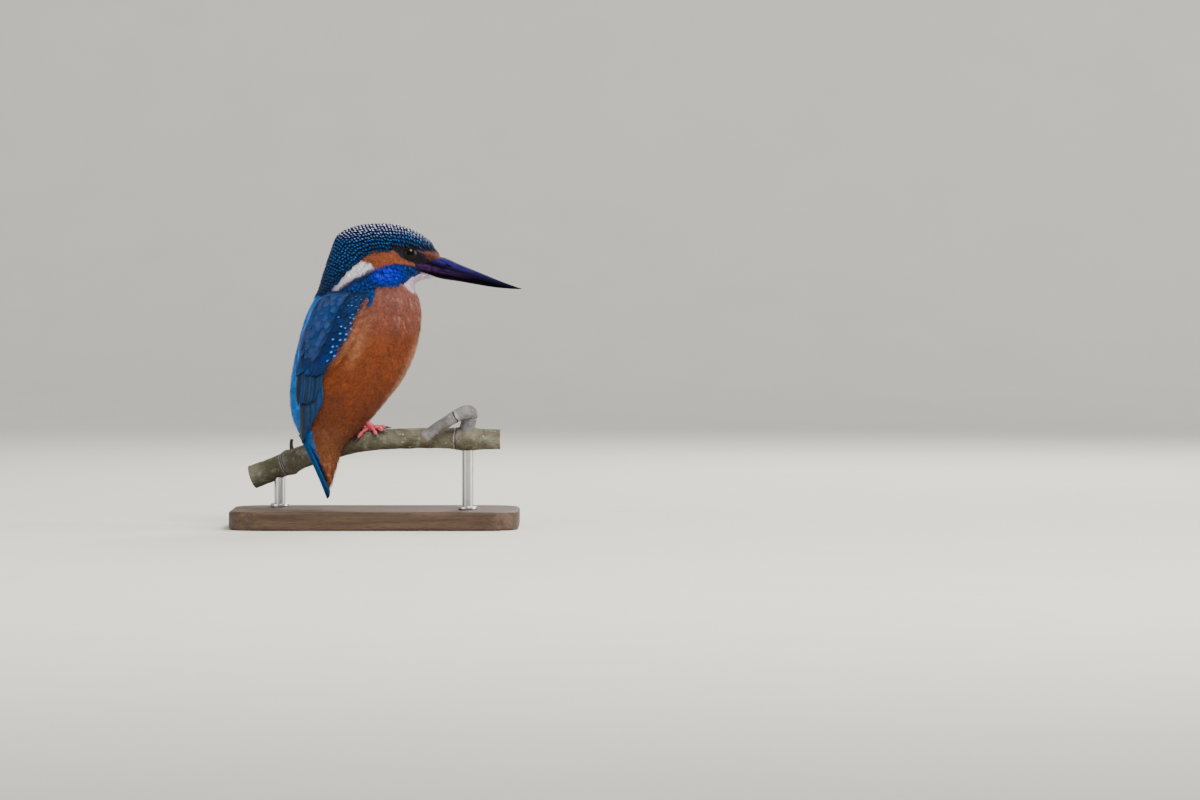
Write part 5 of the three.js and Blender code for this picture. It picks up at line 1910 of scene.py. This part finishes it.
def make_rod(node):
    low, high = box_in_mm(node)
    middle = (low + high) / 2
    deeper = ROD["into_board"]
    bm = bmesh.new()
    bmesh.ops.create_cone(
        bm, cap_ends=True, segments=40, radius1=ROD["radius"], radius2=ROD["radius"],
        depth=high[2] - low[2] + deeper,
    )
    bmesh.ops.translate(bm, vec=middle - np.array([0, 0, deeper / 2]), verts=bm.verts)
    collar = bmesh.ops.create_cone(
        bm, cap_ends=True, segments=40, radius1=COLLAR["bottom"], radius2=COLLAR["top"],
        depth=COLLAR["height"],
    )["verts"]
    bmesh.ops.translate(bm, vec=(middle[0], middle[1], low[2] + COLLAR["middle"]), verts=collar)
    edges = [e for e in bm.edges if all(v in collar for v in e.verts)]
    rims = [e for e in edges if len({round(v.co.z, 3) for v in e.verts}) == 1]
    rounded(bm, rims, COLLAR["bevel"], 3)
    finish_piece(f"{node}_steel", bm, STEEL, [node], sharp=35)


make_rod("stand_rod_1")
make_rod("stand_rod_2")

# %% [markdown]
# ## Paper
# A pale sweep of paper is floor and backdrop in one. A floor and a wall would meet in a line
# behind the bird, so one sheet is bent up in a wide curve instead.


# %% Sweep of paper
SWEEP = {"width": 9.0, "front": -6.0, "run": 10.6, "bend_at": 1.4, "bend_run": 1.2, "radius": 0.76}


def paper_finish():
    made = Finish("pale_paper")
    grain = made.cloud(made.place(), 0.02, 2.0)
    return made.surface(Base_Color=made.blend(grain, (0.74, 0.72, 0.64), (0.80, 0.78, 0.70)), Roughness=0.9)


def make_sweep():
    """A grid laid as floor from front to bend, rolled up there and raised as a wall, in metres."""
    bm = bmesh.new()
    bmesh.ops.create_grid(bm, x_segments=2, y_segments=100, size=0.5)
    flat = corners(bm)
    run = (flat[:, 1] + 0.5) * SWEEP["run"] + SWEEP["front"]
    past = run - SWEEP["bend_at"]
    turn = np.clip(past / SWEEP["bend_run"], 0, 1) * math.pi / 2
    y = np.where(past < 0, run, SWEEP["bend_at"] + SWEEP["radius"] * np.sin(turn))
    wall = np.maximum(past - SWEEP["bend_run"], 0)
    z = np.where(past < 0, 0, SWEEP["radius"] * (1 - np.cos(turn)) + wall)
    move_to(bm.verts, np.stack([flat[:, 0] * SWEEP["width"], y, z], -1) / MM)
    sheet = placed("paper_sweep", mesh_of("paper_sweep", bm), paper_finish())


make_sweep()

# %% [markdown]
# ## Lamps
# A key lamp stands above and to the right, a broad one far out in front of the bill, a weak one on
# the left fills the shadows, and one behind draws a rim of light on crown and bill, all under an
# even sky. Small lamps would cut hard shadows between the feathers, so these are large and soft.


# %% Four lamps and the sky
def lamp(name, place, size, power, colour):
    """A round soft lamp that looks at the bird's breast."""
    light = bpy.data.lights.new(name, "AREA")
    light.shape = "DISK"
    light.size = size
    light.energy = power
    light.color = colour
    holder = bpy.data.objects.new(name, light)
    holder.location = place
    holder.rotation_euler = (BREAST - Vector(place)).to_track_quat("-Z", "Y").to_euler()
    bpy.context.scene.collection.objects.link(holder)


BREAST = Vector((0.0, BIRD_Y * MM, 0.08))
LAMPS = {  # place and size in metres, power in watts, colour
    "key": ((0.45, -0.75, 1.0), 0.6, 20, (1.0, 0.98, 0.95)),
    "fill": ((-0.9, -0.7, 0.4), 0.8, 5, (0.9, 0.95, 1.0)),
    "back": ((0.35, 0.8, 0.7), 0.5, 9, (1.0, 0.98, 0.95)),
    "front": ((2.4, -0.20, 0.75), 1.8, 48, (1.0, 0.95, 0.95)),
}
for name, row in LAMPS.items():
    lamp(name, *row)
world = bpy.data.worlds.new("studio")
world.use_nodes = True
sky = world.node_tree.nodes["Background"].inputs
sky[0].default_value = (0.92, 0.95, 1.0, 1)
sky[1].default_value = 0.55
bpy.context.scene.world = world
print("lamps:", ", ".join(LAMPS))

# %% [markdown]
# ## Camera
# A long lens from far off, level with the perch, flattens the bird the way a wildlife lens does.
# A short lens from near by would swell the bill and shrink the tail. The lens and the width of
# what it should see give the distance.

# %% A long lens
LENS = 200  # focal length and sensor width in millimetres
SENSOR = 36
VIEW_WIDTH = 0.516  # metres across the picture, at the bird
AIM = Vector((0.09675, BIRD_Y * MM, 0.0549))
RISE = math.radians(1.5)  # how far above level the lens stands

camera = bpy.data.cameras.new("long_lens")
camera.lens, camera.sensor_width = LENS, SENSOR
camera.clip_end = 50
viewer = bpy.data.objects.new("long_lens", camera)
far = VIEW_WIDTH * LENS / SENSOR
viewer.location = AIM + Vector((0, -far * math.cos(RISE), far * math.sin(RISE)))
viewer.rotation_euler = (math.pi / 2 - RISE, 0, 0)
bpy.context.scene.collection.objects.link(viewer)
bpy.context.scene.camera = viewer
print("camera", round(far, 3), "m away")
